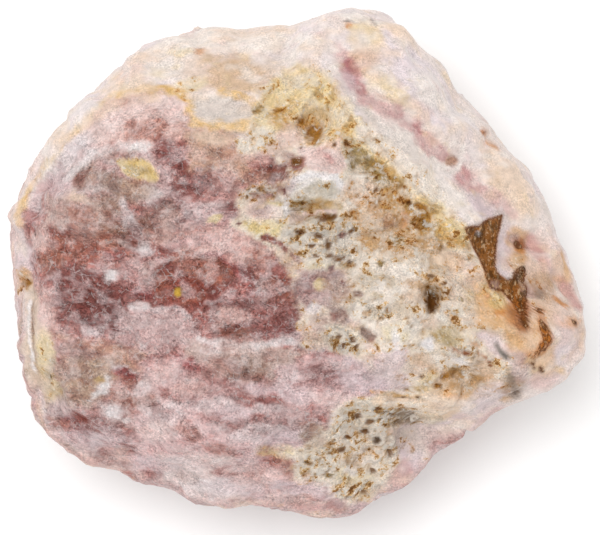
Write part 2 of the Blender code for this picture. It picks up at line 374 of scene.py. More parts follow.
RIDGES = {
    "white_shoulder": Ridge((
        (1.7, 25.0), (4.0, 21.6), (6.9, 17.5), (9.8, 15.2), (12.7, 11.8), (15.5, 8.9), (18.4, 5.5),
    ), 2.2, 0.9),
    "mauve_groove": Ridge((
        (2.6, 25.6), (5.8, 22.7), (6.6, 20.4), (9.2, 18.1), (13.2, 15.8), (17.2, 11.2), (20.1, 9.5),
        (24.7, 4.3), (29.3, -1.4), (31.6, -3.2),
    ), 1.5, -1.1),
    "white_vein": Ridge(((-9.8, -10.1), (-5.2, -9.5), (4.0, -9.5)), 1.3, 0.4),
    "lower_ledge": Ridge(((10.3, -15.8), (15.5, -15.6), (20.1, -15.8), (23.6, -14.1)), 1.5, 1.1),
}

MOUNDS = {
    "white_knob": Mound((2.3, 8.6), (3.9, 2.4), 10, 1.4),
    "ochre_hollow": Mound((2.0, 15.7), (1.9, 2.3), 0, -1.8),
    "knob_hollow": Mound((1.5, 6.0), (2.2, 1.1), 0, -1.2),
    "waste_knob": Mound((14.0, -3.0), (4.4, 3.2), 40, 0.7),
    "waste_hollow": Mound((5.4, 1.4), (2.2, 3.8), 0, -0.8),
    "deep_hole": Mound((15.5, -4.0), (1.2, 1.7), 0, -1.8),
    "clay_hollow": Mound((12.4, -17.9), (2.4, 1.4), 0, -1.3),
    "side_hollow": Mound((16.0, -21.4), (4.6, 2.8), 30, -1.2),
    "low_pores": Mound((7.0, -21.0), (3.0, 4.6), 0, -0.8),
    "skin_scoop": Mound((-7.5, 17.2), (5.4, 1.9), 0, -1.0),
    "skin_dimple": Mound((-6.0, 22.0), (5.4, 2.0), 0, -0.5),
    "dark_hollow": Mound((-24.2, -4.9), (3.6, 3.2), 0, -0.7),
    "mauve_hollow": Mound((-4.6, -6.0), (5.2, 1.9), -8, -0.6),
    "lower_lobe": Mound((-8.6, -19.0), (11.0, 3.4), -6, 0.7),
    "crimson_step": Mound((-9.0, -14.0), (11.0, 1.6), -4, -0.5),
}


@dataclass(frozen=True)
class Lump:
    """The rounded meeting of flat breaks and chips, drawn out sideways to the outline."""

    heart_height: float = 15.0  # from the resting face up to the point that the breaks are measured from
    edge_crispness: float = 22.0  # how sharply two breaks meet
    lean_crispness: float = 7.0  # the same for the directions in which the forms rise, so that none fold over
    chips: int = 90  # places where the walls and edges may be chipped
    chip_depth: Spot = (0.2, 1.1)
    chip_tilt: float = 0.13  # how far a chip leans from the surface round it, in radians
    chip_rise: float = 0.8  # chips stay off the faces that look up or down more than this
    chip_seed: int = 4
    swells: Spot = (14.0, 0.9)  # wave length and height
    lumps: Spot = (5.0, 0.4)
    cleavage: Triple = (6.0, 0.16, 14.0)  # width of a facet, its tilt, and how sharply two meet
    layers: Triple = (1.0, 0.6, 0.8)  # how the layers shorten the unevenness along x, y and z
    outline_step: float = 2.0  # degrees between the azimuths where the reach is compared with the outline
    rim_rises: tuple[int, int, int] = (-40, 51, 3)  # the rises, in degrees, among which the widest line lies
    wander: Spot = (0.15, 6.0)  # how far the stretch wanders round the stone, in radians, and its wave length
    wander_rise: Spot = (1.0, 9.0)  # heights over which the wandering comes in
    stretch_share: Spot = (0.5, 0.95)  # shares of the way out over which the stretch comes in

    def meeting(self, directions: Array, normals: Array, reaches: Array) -> tuple[Array, Array]:
        """The rounded meeting of breaks: in direction d it is 1 / (sum of (d.n / r)^p)^(1/p) away.

        Args:
            directions: vectors of length 1, one per row.
            normals: the direction that each break faces.
            reaches: each break's distance from the heart.

        Returns:
            The points and the surface normals, one per row.
        """
        crisp = self.edge_crispness
        nearness = np.maximum(directions @ normals.T, 0) / reaches
        reach = (nearness**crisp).sum(axis=1) ** (-1 / crisp)
        steepest = (nearness ** (crisp - 1) / reaches) @ normals
        return directions * reach[:, None], steepest / np.linalg.norm(steepest, axis=1)[:, None]

    def chipped_breaks(self) -> tuple[Array, Array]:
        """The main breaks with the chips, whose places turn by the golden angle from pole to pole.

        Returns:
            The normals and the distances from the heart.
        """
        normals = np.array([unit(face.azimuth, face.rise) for face in BREAKS.values()])
        reaches = np.array([face.reach for face in BREAKS.values()])
        turns = np.arange(self.chips) * 180 * (3 - 5**0.5)
        rises = np.degrees(np.arcsin(1 - (2 * np.arange(self.chips) + 1) / self.chips))
        places = np.array([unit(turn, rise) for turn, rise in zip(turns, rises)])
        points, leans = self.meeting(places, normals, reaches)
        chance = np.random.default_rng(self.chip_seed)
        leans = leans + chance.normal(0, self.chip_tilt, leans.shape)
        leans /= np.linalg.norm(leans, axis=1)[:, None]
        depths = chance.uniform(*self.chip_depth, self.chips)
        kept = np.abs(leans[:, 2]) < self.chip_rise
        chip_reaches = (points * leans).sum(axis=1) - depths
        return np.vstack([normals, leans[kept]]), np.append(reaches, chip_reaches[kept])

    def surface(self, directions: Array) -> tuple[Array, Array]:
        """The chipped lump: points and surface normals, round the heart."""
        return self.meeting(directions, *self.chipped_breaks())

    def rising(self, directions: Array) -> Array:
        """The directions in which the forms rise: the normals of the same lump with its edges worn round."""
        worn = replace(self, edge_crispness=self.lean_crispness)
        return worn.meeting(directions, *self.chipped_breaks())[1]

    def unevenness(self, points: Array) -> Array:
        """Height of the swells, lumps and cleavage facets that cover the whole stone."""
        layered = points / self.layers
        width, tilt, crispness = self.cleavage
        return (
            noise(points, self.swells[0], Salt.SWELLS) * self.swells[1]
            + noise(layered, self.lumps[0], Salt.LUMPS) * self.lumps[1]
            + facets(layered, width, tilt, crispness, Salt.CLEAVAGE)
        )

    def widest(self, azimuths: Array) -> Array:
        """How far the uneven lump reaches sideways at each azimuth, at whichever rise it is widest."""
        rises = np.radians(np.arange(*self.rim_rises))
        a, r = (grid.ravel() for grid in np.meshgrid(azimuths, rises, indexing="ij"))
        directions = np.stack([np.cos(a) * np.cos(r), np.sin(a) * np.cos(r), np.sin(r)], axis=1)
        points, normals = self.surface(directions)
        points += normals * self.unevenness(points)[:, None]
        return np.hypot(points[:, 0], points[:, 1]).reshape(len(azimuths), -1).max(axis=1)

    def draw_out(self, points: Array) -> Array:
        """Stretch the lump sideways by outline / reach, until its widest line follows the outline.

        Args:
            points: the chipped lump's points.

        Returns:
            The drawn-out points.
        """
        azimuths = np.radians(np.arange(-180, 180 + self.outline_step, self.outline_step))
        reach = self.widest(azimuths)
        corners = np.array(OUTLINE)
        corner_azimuths = np.arctan2(corners[:, 1], corners[:, 0])
        order = np.argsort(corner_azimuths)
        outline = np.interp(azimuths, corner_azimuths[order], np.hypot(*corners[order].T), period=2 * np.pi)
        stretch = outline / reach
        angle, size = self.wander
        wander = angle * noise(points, size, Salt.OUTLINE_WANDER)
        wander *= ramp(np.abs(points[:, 2]), *self.wander_rise)
        here = np.arctan2(points[:, 1], points[:, 0]) + wander
        near_rim = np.hypot(points[:, 0], points[:, 1]) / np.interp(here, azimuths, reach, period=2 * np.pi)
        drawn_share = ramp(near_rim, *self.stretch_share)
        factor = 1 + (np.interp(here, azimuths, stretch, period=2 * np.pi) - 1) * drawn_share
        drawn = points.copy()
        drawn[:, :2] *= factor[:, None]
        return drawn


@dataclass(frozen=True)
class UpperForms:
    """The ledges, grooves, knobs and hollows that are seen from a step away."""

    waste_lumps: Spot = (3.6, 0.9)  # wave length and height
    waste_edge: Spot = (-1.0, 1.5)  # distances inside the waste over which its lumps come in
    mound_edge: Spot = (0.35, 1.35)  # shares of a mound's half axes over which it falls away
    wall_fade: Spot = (0.15, 0.5)  # how far up a surface faces where the forms fade in

    def height(self, points: Array, normals: Array) -> Array:
        """Sum of the steps, the ridges as exp(-(d / w)^2), the mounds and the waste's lumps.

        Args:
            points: the drawn-out lump.
            normals: its surface normals.

        Returns:
            A height in millimetres per row.
        """
        plan = points[:, :2]
        height = np.zeros(len(points))
        for step in STEPS.values():
            height += step.height * ramp(depth_inside(plan, step.outline), -step.edge / 2, step.edge / 2)
        for ridge in RIDGES.values():
            height += ridge.height * np.exp(-((line_distance(plan, ridge.route) / ridge.half_width) ** 2))
        for mound in MOUNDS.values():
            distance = ellipse_distance(plan, mound.middle, mound.axes, mound.turn)
            height += mound.height * (1 - ramp(distance, *self.mound_edge))
        in_waste = ramp(depth_inside(plan, STEPS["porous_waste"].outline), *self.waste_edge)
        size, tall = self.waste_lumps
        height += in_waste * noise(points, size, Salt.WASTE_LUMPS) * tall
        return height * ramp(normals[:, 2], *self.wall_fade)


# ---------------------------------------------------------------- minerals


@dataclass(frozen=True)
class Finish:
    """What one mineral or stain looks like."""

    shown: str  # its colour under the studio light, as six hex digits
    crystal: float = 0.0  # share of sugary crystal
    porous: float = 0.0  # share of porous waste
    rust: float = 0.0  # share of crumbly iron stain

    def values(self) -> Array:
        """Six numbers that blend from finish to finish: red, green and blue, then the three shares.

        The shown colour becomes linear light as ((c + 0.055) / 1.055)^2.4, or c / 12.92 below 0.04045.
        """
        shown = np.array([int(self.shown[i : i + 2], 16) for i in (0, 2, 4)]) / 255
        linear = np.where(shown > 0.04045, ((shown + 0.055) / 1.055) ** 2.4, shown / 12.92)
        return np.append(linear / STUDIO_GAIN, (self.crystal, self.porous, self.rust))


class Mineral(Enum):
    """The minerals and stains of the stone."""

    # smooth outer skin
    SKIN = Finish("efdfd8")
    WHITE_SKIN = Finish("f5eae2")
    LAVENDER_SKIN = Finish("ebdde0")
    PEACH_SKIN = Finish("f0d4ba")
    TAN_SKIN = Finish("d8b797")
    GREY_SKIN = Finish("dccfc6")
    CREAM_SKIN = Finish("ecd3a6")
    PINK_SKIN = Finish("e2c0bb")
    MAUVE_SKIN = Finish("ca9593")
    DEEP_MAUVE_SKIN = Finish("b06e70")
    LILAC_SKIN = Finish("dcc8ca")
    STRIP_CREAM = Finish("dac4ae")
    WARM_SKIN = Finish("deb99f")
    APRICOT = Finish("dba76c", porous=0.1)
    # sugary rose face
    PALE_ROSE = Finish("ecc9c0", crystal=0.5)
    BLUSH = Finish("f3dad4", crystal=0.4)
    ROSE = Finish("c2847c", crystal=1)
    SALMON = Finish("bb7862", crystal=1)
    SALMON_PINK = Finish("ebc8c6", crystal=0.6)
    RED_ROSE = Finish("99493a", crystal=1)
    MAUVE = Finish("985e59", crystal=1)
    DARK_MAUVE = Finish("824b46", crystal=1)
    DEEPEST_MAUVE = Finish("673c38", crystal=1)
    BROWN_ROSE = Finish("925a48", crystal=1)
    TAN_ROSE = Finish("d6ae96", crystal=0.6)
    CRIMSON = Finish("a65a5a", crystal=1)
    LIGHT_CRIMSON = Finish("cd8686", crystal=1)
    GREY_PINK = Finish("debebb", crystal=0.7)
    GREY_MAUVE = Finish("cbb0ad", crystal=0.6)
    GREY_BROWN = Finish("ab8b7b", crystal=0.8)
    OLIVE_ROSE = Finish("c2a992", crystal=0.7)
    GREY_VEIL = Finish("d2bab0", crystal=0.45)
    MILK = Finish("ebdddd", crystal=0.4)
    BRIGHT_MILK = Finish("f6f0ef", crystal=0.3)
    LILAC = Finish("e6d1d4", crystal=0.4)
    # porous waste
    CREAM = Finish("f8e6d2", porous=0.45)
    LACE = Finish("f9e8d5", porous=1)
    ROSY_LACE = Finish("dcbcac", porous=1)
    BEIGE = Finish("d9aa76", porous=0.6)
    KHAKI = Finish("baa47c", porous=0.15)
    CREAM_WHITE = Finish("fdf2e6", porous=0.5)
    SMOOTH_CREAM = Finish("f6e9dd", porous=0.2)
    KNOB_GREY = Finish("c9beae", porous=0.21)
    KNOB_WHITE = Finish("e6ddd5", porous=0.21)
    GREY_CREAM = Finish("e2cfb8", porous=0.6)
    PINK_BEIGE = Finish("e6c6b0", porous=0.5)
    PALE_OCHRE = Finish("f7dca4", porous=0.4)
    OCHRE = Finish("d8a048", porous=0.6)
    DARK_OCHRE = Finish("b27a2a", porous=0.5)
    YELLOW_CREAM = Finish("efdaa2", porous=0.4)
    YELLOW = Finish("d0ad58", crystal=0.4)
    CLEAR_YELLOW = Finish("cda337")
    OLIVE = Finish("ae8e4c", porous=1)
    CLAY = Finish("9f8670", porous=0.6)
    PORE = Finish("7c4e1a", porous=0.4)
    DEEP_PORE = Finish("55340c", rust=0.3)
    GOLD_BROWN = Finish("a87630", porous=0.7)
    # iron stains
    RIM_YELLOW = Finish("e6bc78", porous=0.1)
    STRONG_YELLOW = Finish("dcae60", porous=0.2)
    ORANGE = Finish("d78c3e", rust=0.2)
    RUST = Finish("ac6c30", rust=0.45)
    RUST_EDGE = Finish("ecc294", rust=0.8)
    RUST_SPOT = Finish("a4591c", rust=0.4)
    SOOT = Finish("6b665c", rust=0.2)
    DARK_RUST = Finish("6a3404", rust=1)
    ORANGE_RUST = Finish("c97628", rust=0.7)


M = Mineral


@dataclass(frozen=True)
class Stroke:
    """One mineral laid over part of the stone."""

    mineral: Mineral
    strength: float

    def cover(self, plan: Array, fray: Array) -> Array:
        """How far each plan point lies under the stroke, from 0 to 1, where fray moves its edge about."""
        raise NotImplementedError


@dataclass(frozen=True)
class Zone(Stroke):
    """A mineral inside an outline."""

    outline: Route
    edge: float = 1.2  # width of its soft edge
    wander: float = 0.9  # how far the edge moves about
    dapple: float = 0.0  # share of it that is broken up into grains

    def cover(self, plan: Array, fray: Array) -> Array:
        """A rise over the depth inside the outline."""
        depth = depth_inside(plan, self.outline) + fray * self.wander
        return ramp(depth, -self.edge / 2, self.edge / 2)


@dataclass(frozen=True)
class Patch(Stroke):
    """A mineral in an ellipse: its middle, its half axes and how far it is turned."""

    x: float
    y: float
    length: float
    width: float
    turn: float = 0.0
    dapple: float = 0.0
    soft: float = 0.8  # width of its soft edge, as a share of its half axes
    wander: float = 0.5  # how far the edge moves about, as a share of them

    def cover(self, plan: Array, fray: Array) -> Array:
        """A fall over the distance across the ellipse."""
        spread = ellipse_distance(plan, (self.x, self.y), (self.length, self.width), self.turn)
        return ramp(spread + fray * self.wander, 1 + self.soft / 2, 1 - self.soft / 2)


@dataclass(frozen=True)
class Vein(Stroke):
    """A mineral along a route."""

    half_width: float
    route: Route
    dapple: float = 0.0
    soft: float = 1.0
    wander: float = 0.7

    def cover(self, plan: Array, fray: Array) -> Array:
        """A fall over the distance from the route."""
        distance = line_distance(plan, self.route) / self.half_width + fray * self.wander
        return ramp(distance, 1 + self.soft / 2, 1 - self.soft / 2)


Strokes = tuple[Zone | Patch | Vein, ...]


@dataclass(frozen=True)
class Bloom:
    """A mineral that comes and goes all over one kind of surface, where a stretched noise is high."""

    mineral: Mineral
    stretch: Triple  # wave length along x, y and z
    salt: int
    start: float
    end: float
    strength: float

    def cover(self, points: Array) -> Array:
        """A rise over the noise, times the strength."""
        return self.strength * ramp(rough_noise(points / self.stretch, 1.0, self.salt), self.start, self.end)


@dataclass(frozen=True)
class Hole:
    """One hole of the upper side: its middle, half axes and turn, how deep it is, and the stain in it."""

    x: float
    y: float
    length: float
    width: float
    turn: float
    depth: float
    stain: Mineral = M.PORE


FACE: Route = (
    (-31.2, 4.9), (-29.8, 8.1), (-27.6, 10.6), (-24.7, 14.1), (-21.5, 18), (-15, 19.3), (-13, 17.8),
    (-11.8, 15.6), (-5.2, 14), (-0.5, 12.4), (-0.2, 10.4), (-1.2, 7), (-6.2, 6.8), (-7, 4.2), (-3, 2.8),
    (0.3, -0.4), (1, -5.5), (4.6, -7.4), (9, -10.4), (14, -11.6), (10.4, -14.6), (4.2, -16.8), (3.4, -20.5),
    (-2, -21.5), (0, -25), (6, -26.8), (12.5, -25.4), (8, -34), (-22.4, -33), (-30.5, -23.5),
    (-30.2, -15.8), (-30.2, -4.3),
)
WASTE: Route = (
    (-4, 17.5), (-3, 20.4), (1.6, 22.6), (4.6, 20.8), (6.8, 17.2), (11.9, 12.4), (15.6, 8.6), (19.8, 3.6),
    (21.4, -0.6), (23.6, -3.6), (26.4, -8.4), (27.4, -12.8), (23, -15.4), (12, -15.2), (6.6, -10.8),
    (1, -7.4), (-0.2, -1.6), (-3.6, 2.4), (-7, 4.2), (-6.2, 8), (-1, 9.4), (-0.4, 11.4), (-5.8, 13.2),
)
LOWER_WASTE: Route = (
    (9.8, -14.8), (14, -14.6), (19, -15.6), (17.4, -18.6), (11.4, -19), (12.4, -23), (11.4, -27.2),
    (6.2, -27.8), (3.8, -25), (0.2, -24.6), (0.6, -20.6), (4, -18.8), (5.4, -16),
)
RUST_POCKET: Route = (
    (19.3, 3.9), (20.2, 4.2), (21, 4.2), (22, 5), (23.8, 5.5), (23.6, 4.4), (23.2, 3), (23, 1.4),
    (22.9, -0.5), (23.3, -1.3), (24.2, -2), (24.8, -1.8), (25.2, -0.7), (25.9, -0.5), (26.4, -1),
    (26.2, -2), (26.7, -3), (26.5, -4.3), (26.2, -5.6), (25.4, -5.6), (24.8, -4.6), (23.7, -3.4),
    (22.3, -3), (21.8, -1.9), (21.4, -0.6), (20.8, 0.7), (20.1, 2),
)

# The strokes, in the order in which they are laid, each over those before it. A zone's numbers are its
# strength, outline, edge, wander and dapple. A patch's are its strength, middle, half axes, turn and dapple,
# and a vein's are its strength, half width, route and dapple.
SKIN_STROKES: Strokes = (
    # north and west: peach mottles, the tan saddle, and painted shade in the scoop
    Vein(M.PEACH_SKIN, 0.7, 1.5, ((-27, 14.5), (-22, 19.6), (-17, 23.8), (-10, 25.8), (-1, 25.8)), 0.4),
    Patch(M.WHITE_SKIN, 0.8, -13.6, 22.4, 3.2, 2, 25), Patch(M.CREAM_SKIN, 0.6, -17.4, 20.6, 3.6, 1, 24),
    Patch(M.PINK_SKIN, 0.4, -19, 21.6, 1.6, 0.9, 40), Patch(M.LAVENDER_SKIN, 0.9, -24, 17.6, 2.4, 1.3, 48),
    Patch(M.TAN_SKIN, 0.95, -7.2, 21.6, 5.8, 2.4, -6), Patch(M.GREY_SKIN, 0.5, -1.5, 23.6, 3.4, 1.4, 10),
    Patch(M.WHITE_SKIN, 0.7, -3, 25, 6, 1.1), Patch(M.YELLOW_CREAM, 0.6, -11.6, 20.4, 1.3, 0.9),
    # painted shade: the grey patch darkens the skin's scoop
    Patch(M.GREY_SKIN, 0.95, -8.4, 17.4, 4, 1.9, -8, soft=0.5),
    Vein(M.RIM_YELLOW, 0.8, 0.5, ((-8.4, 19.4), (-5.6, 18.8), (-4.4, 17.8)), 0.4),
    Vein(M.RIM_YELLOW, 0.85, 0.75, ((-12.6, 16.2), (-10.2, 15.2), (-7, 15.4), (-3.8, 15.6)), 0.2),
    Patch(M.STRONG_YELLOW, 0.7, -10, 15.4, 1, 0.5, -15),
    Vein(M.RIM_YELLOW, 0.9, 0.95, ((-12.4, 17.6), (-13.6, 19.4), (-16, 19.6), (-20, 18.6), (-23, 16.4),
        (-24.9, 14))),
    Vein(M.RIM_YELLOW, 0.9, 0.7, ((-26, 12.8), (-28.6, 10.4), (-30.4, 8), (-31.6, 5))),
    Vein(M.STRONG_YELLOW, 0.85, 0.5, ((-15.6, 19.6), (-13.6, 19.6), (-12.7, 18.2))),
    Vein(M.STRONG_YELLOW, 0.6, 0.3, ((-21.6, 17.4), (-19.6, 18.7), (-16.6, 19.3)), 0.4),
    Vein(M.STRONG_YELLOW, 0.6, 0.28, ((-26.4, 12.3), (-28.4, 10.6), (-29.8, 8.6)), 0.3),
    Patch(M.ORANGE, 0.8, -11, 24.2, 0.45, 0.4), Patch(M.YELLOW_CREAM, 0.5, -13, 24.2, 1.4, 0.5),
    # north-east: lavender slope with warm mottles
    Zone(M.LAVENDER_SKIN, 0.8, ((9.5, 28), (14, 24.4), (17.6, 21), (20, 17), (17, 15), (12, 20.6),
        (8.4, 25))),
    Patch(M.WHITE_SKIN, 0.8, 15.6, 19.6, 3, 1.4, -50), Patch(M.CREAM_SKIN, 0.95, 8.2, 24.4, 1.7, 3, 4),
    Patch(M.PINK_SKIN, 0.7, 7.4, 23, 1.4, 1.2), Patch(M.PEACH_SKIN, 0.7, 12.4, 26.2, 2.6, 0.9, -40),
    Patch(M.CREAM_SKIN, 0.75, 10.8, 19.6, 2.8, 1.2, -42, 0.4),
    Patch(M.TAN_SKIN, 0.45, 10, 23.6, 1.6, 0.9, -30, 0.6),
    Patch(M.PEACH_SKIN, 0.75, 24.6, 9, 4.6, 2.2, -58),
    Patch(M.TAN_SKIN, 0.4, 22.6, 9.6, 1.8, 0.7, -35, 0.5), Patch(M.PINK_SKIN, 0.45, 29.4, 1, 3.4, 1.4, -62),
    Zone(M.WHITE_SKIN, 0.85, ((2.6, 24.8), (4.8, 22), (5.8, 18.6), (8.8, 15.8), (12.6, 12.4), (15.6, 9.2),
        (18.8, 5.4), (20.4, 4.4), (22.6, 6), (19.4, 9.8), (15.4, 13.2), (10.6, 16.8), (7.2, 19.6),
        (5, 22.4)), wander=0.5),
    # painted shade: the grey vein darkens the white shoulder's side where it dips into the mauve groove
    Vein(M.GREY_SKIN, 0.9, 0.8, ((5.6, 21.2), (6.4, 18.6), (8.6, 16.2))),
    Patch(M.GREY_SKIN, 0.5, 12.4, 13.2, 3.6, 0.9, -43), Patch(M.LILAC_SKIN, 0.95, 21.6, 6.6, 2, 1.5, -40),
    Patch(M.MAUVE_SKIN, 0.75, 19.2, 9.6, 1.7, 0.9, -40), Patch(M.WARM_SKIN, 0.75, 8.2, 23, 1.8, 1.4),
    Patch(M.WARM_SKIN, 0.6, 22, 0.6, 1.2, 1.2), Patch(M.WHITE_SKIN, 0.8, -12, 25.8, 3.6, 1.2),
    Patch(M.LAVENDER_SKIN, 0.7, 1.6, 25.2, 2.6, 2), Patch(M.LAVENDER_SKIN, 0.7, 8.4, 29, 3, 0.8),
    Patch(M.LAVENDER_SKIN, 0.6, -24.6, 18.2, 2.4, 1.3, 45),
    Patch(M.LAVENDER_SKIN, 0.6, 19.4, 17.4, 1.6, 1.6), Patch(M.LILAC_SKIN, 0.8, 24, 1.4, 0.9, 3, -8),
    Vein(M.MAUVE_SKIN, 0.85, 0.9, ((2.6, 25.4), (4.6, 24.2), (5.8, 22.7), (6.6, 21))),
    Vein(M.MAUVE_SKIN, 0.8, 0.85, ((6.5, 22.4), (6.8, 20.6), (7.8, 19), (9.6, 17.8), (11.8, 16.8),
        (13.6, 15.6), (15.2, 13.8), (16.8, 12.2)), 0.2),
    Vein(M.DEEP_MAUVE_SKIN, 0.9, 0.7, ((6.2, 22.6), (6.6, 21.2), (7.3, 19.4))),
    Vein(M.DEEP_MAUVE_SKIN, 0.65, 0.3, ((11, 17.1), (12.8, 16.3), (14.4, 14.8)), 0.3),
    Vein(M.MAUVE_SKIN, 0.85, 0.6, ((18.8, 10.4), (20, 9.4), (21.6, 8.2), (23.2, 7.2)), 0.2),
    Vein(M.PINK_SKIN, 0.8, 0.6, ((22.4, 7.6), (23.8, 6.8), (25, 5.6)), 0.2),
    Vein(M.MAUVE_SKIN, 0.75, 0.75, ((26.8, 2.4), (28.4, 0.6), (30, -1.6), (31.6, -3.6), (32.4, -4.8)), 0.3),
    Patch(M.DEEP_MAUVE_SKIN, 0.6, 28, 1, 0.8, 0.5, -50), Patch(M.APRICOT, 0.45, 25.4, 1.4, 1.2, 2, 20, 0.2),
    # the small cavity: painted highlight on its lower-right lip and painted shade inside it, and flecks
    Vein(M.WHITE_SKIN, 0.9, 0.4, ((19.2, 13.2), (19.4, 11.8), (18.4, 10.6), (17.4, 9.8))),
    Patch(M.TAN_ROSE, 0.9, 17.8, 11.7, 0.85, 0.6, 35), Patch(M.GREY_BROWN, 0.6, 18.2, 11.9, 0.45, 0.3, 35),
    Patch(M.ORANGE, 0.85, 21.9, 15, 0.45, 0.6, 30), Patch(M.ORANGE, 0.8, 22.8, 13.6, 1, 0.55, -35, 0.2),
    Patch(M.RUST_SPOT, 0.8, 21.8, 15.1, 0.25, 0.3), Patch(M.CREAM_SKIN, 0.6, 8, 27.2, 1.9, 1.1),
    Patch(M.ORANGE, 0.9, 6.3, 27.2, 0.6, 0.45), Patch(M.DARK_RUST, 0.9, 6.1, 27.7, 0.35, 0.22),
    Patch(M.RUST_SPOT, 0.9, 7.9, 27.4, 0.32, 0.22), Patch(M.DARK_RUST, 0.95, 8.9, 27.5, 0.24, 0.42),
    # the second patch, white skin at the top rim, is painted light over the slope that turns away there
    Patch(M.ORANGE, 0.6, 8.1, 25, 0.3, 0.3), Patch(M.WHITE_SKIN, 0.8, 8, 28.8, 2.6, 1.6),
    Patch(M.WHITE_SKIN, 0.85, 2.2, 24.2, 3, 2.6),
    # paler and warmer places
    Patch(M.SKIN, 0.5, -12.4, 22, 2.6, 2.2), Patch(M.WHITE_SKIN, 0.5, -24, 17, 2, 1.8),
    Patch(M.WHITE_SKIN, 0.5, 19.4, 17.2, 2, 1.8), Patch(M.WHITE_SKIN, 0.4, 27.8, 3.6, 1.8, 1.4),
    Patch(M.PEACH_SKIN, 0.5, 8.2, 25.4, 1.8, 1.8), Patch(M.MAUVE_SKIN, 0.3, 20.4, 9, 2, 1.2, -40),
    Patch(M.MAUVE_SKIN, 0.25, 14.2, 17, 1.6, 1.2, -40),
)

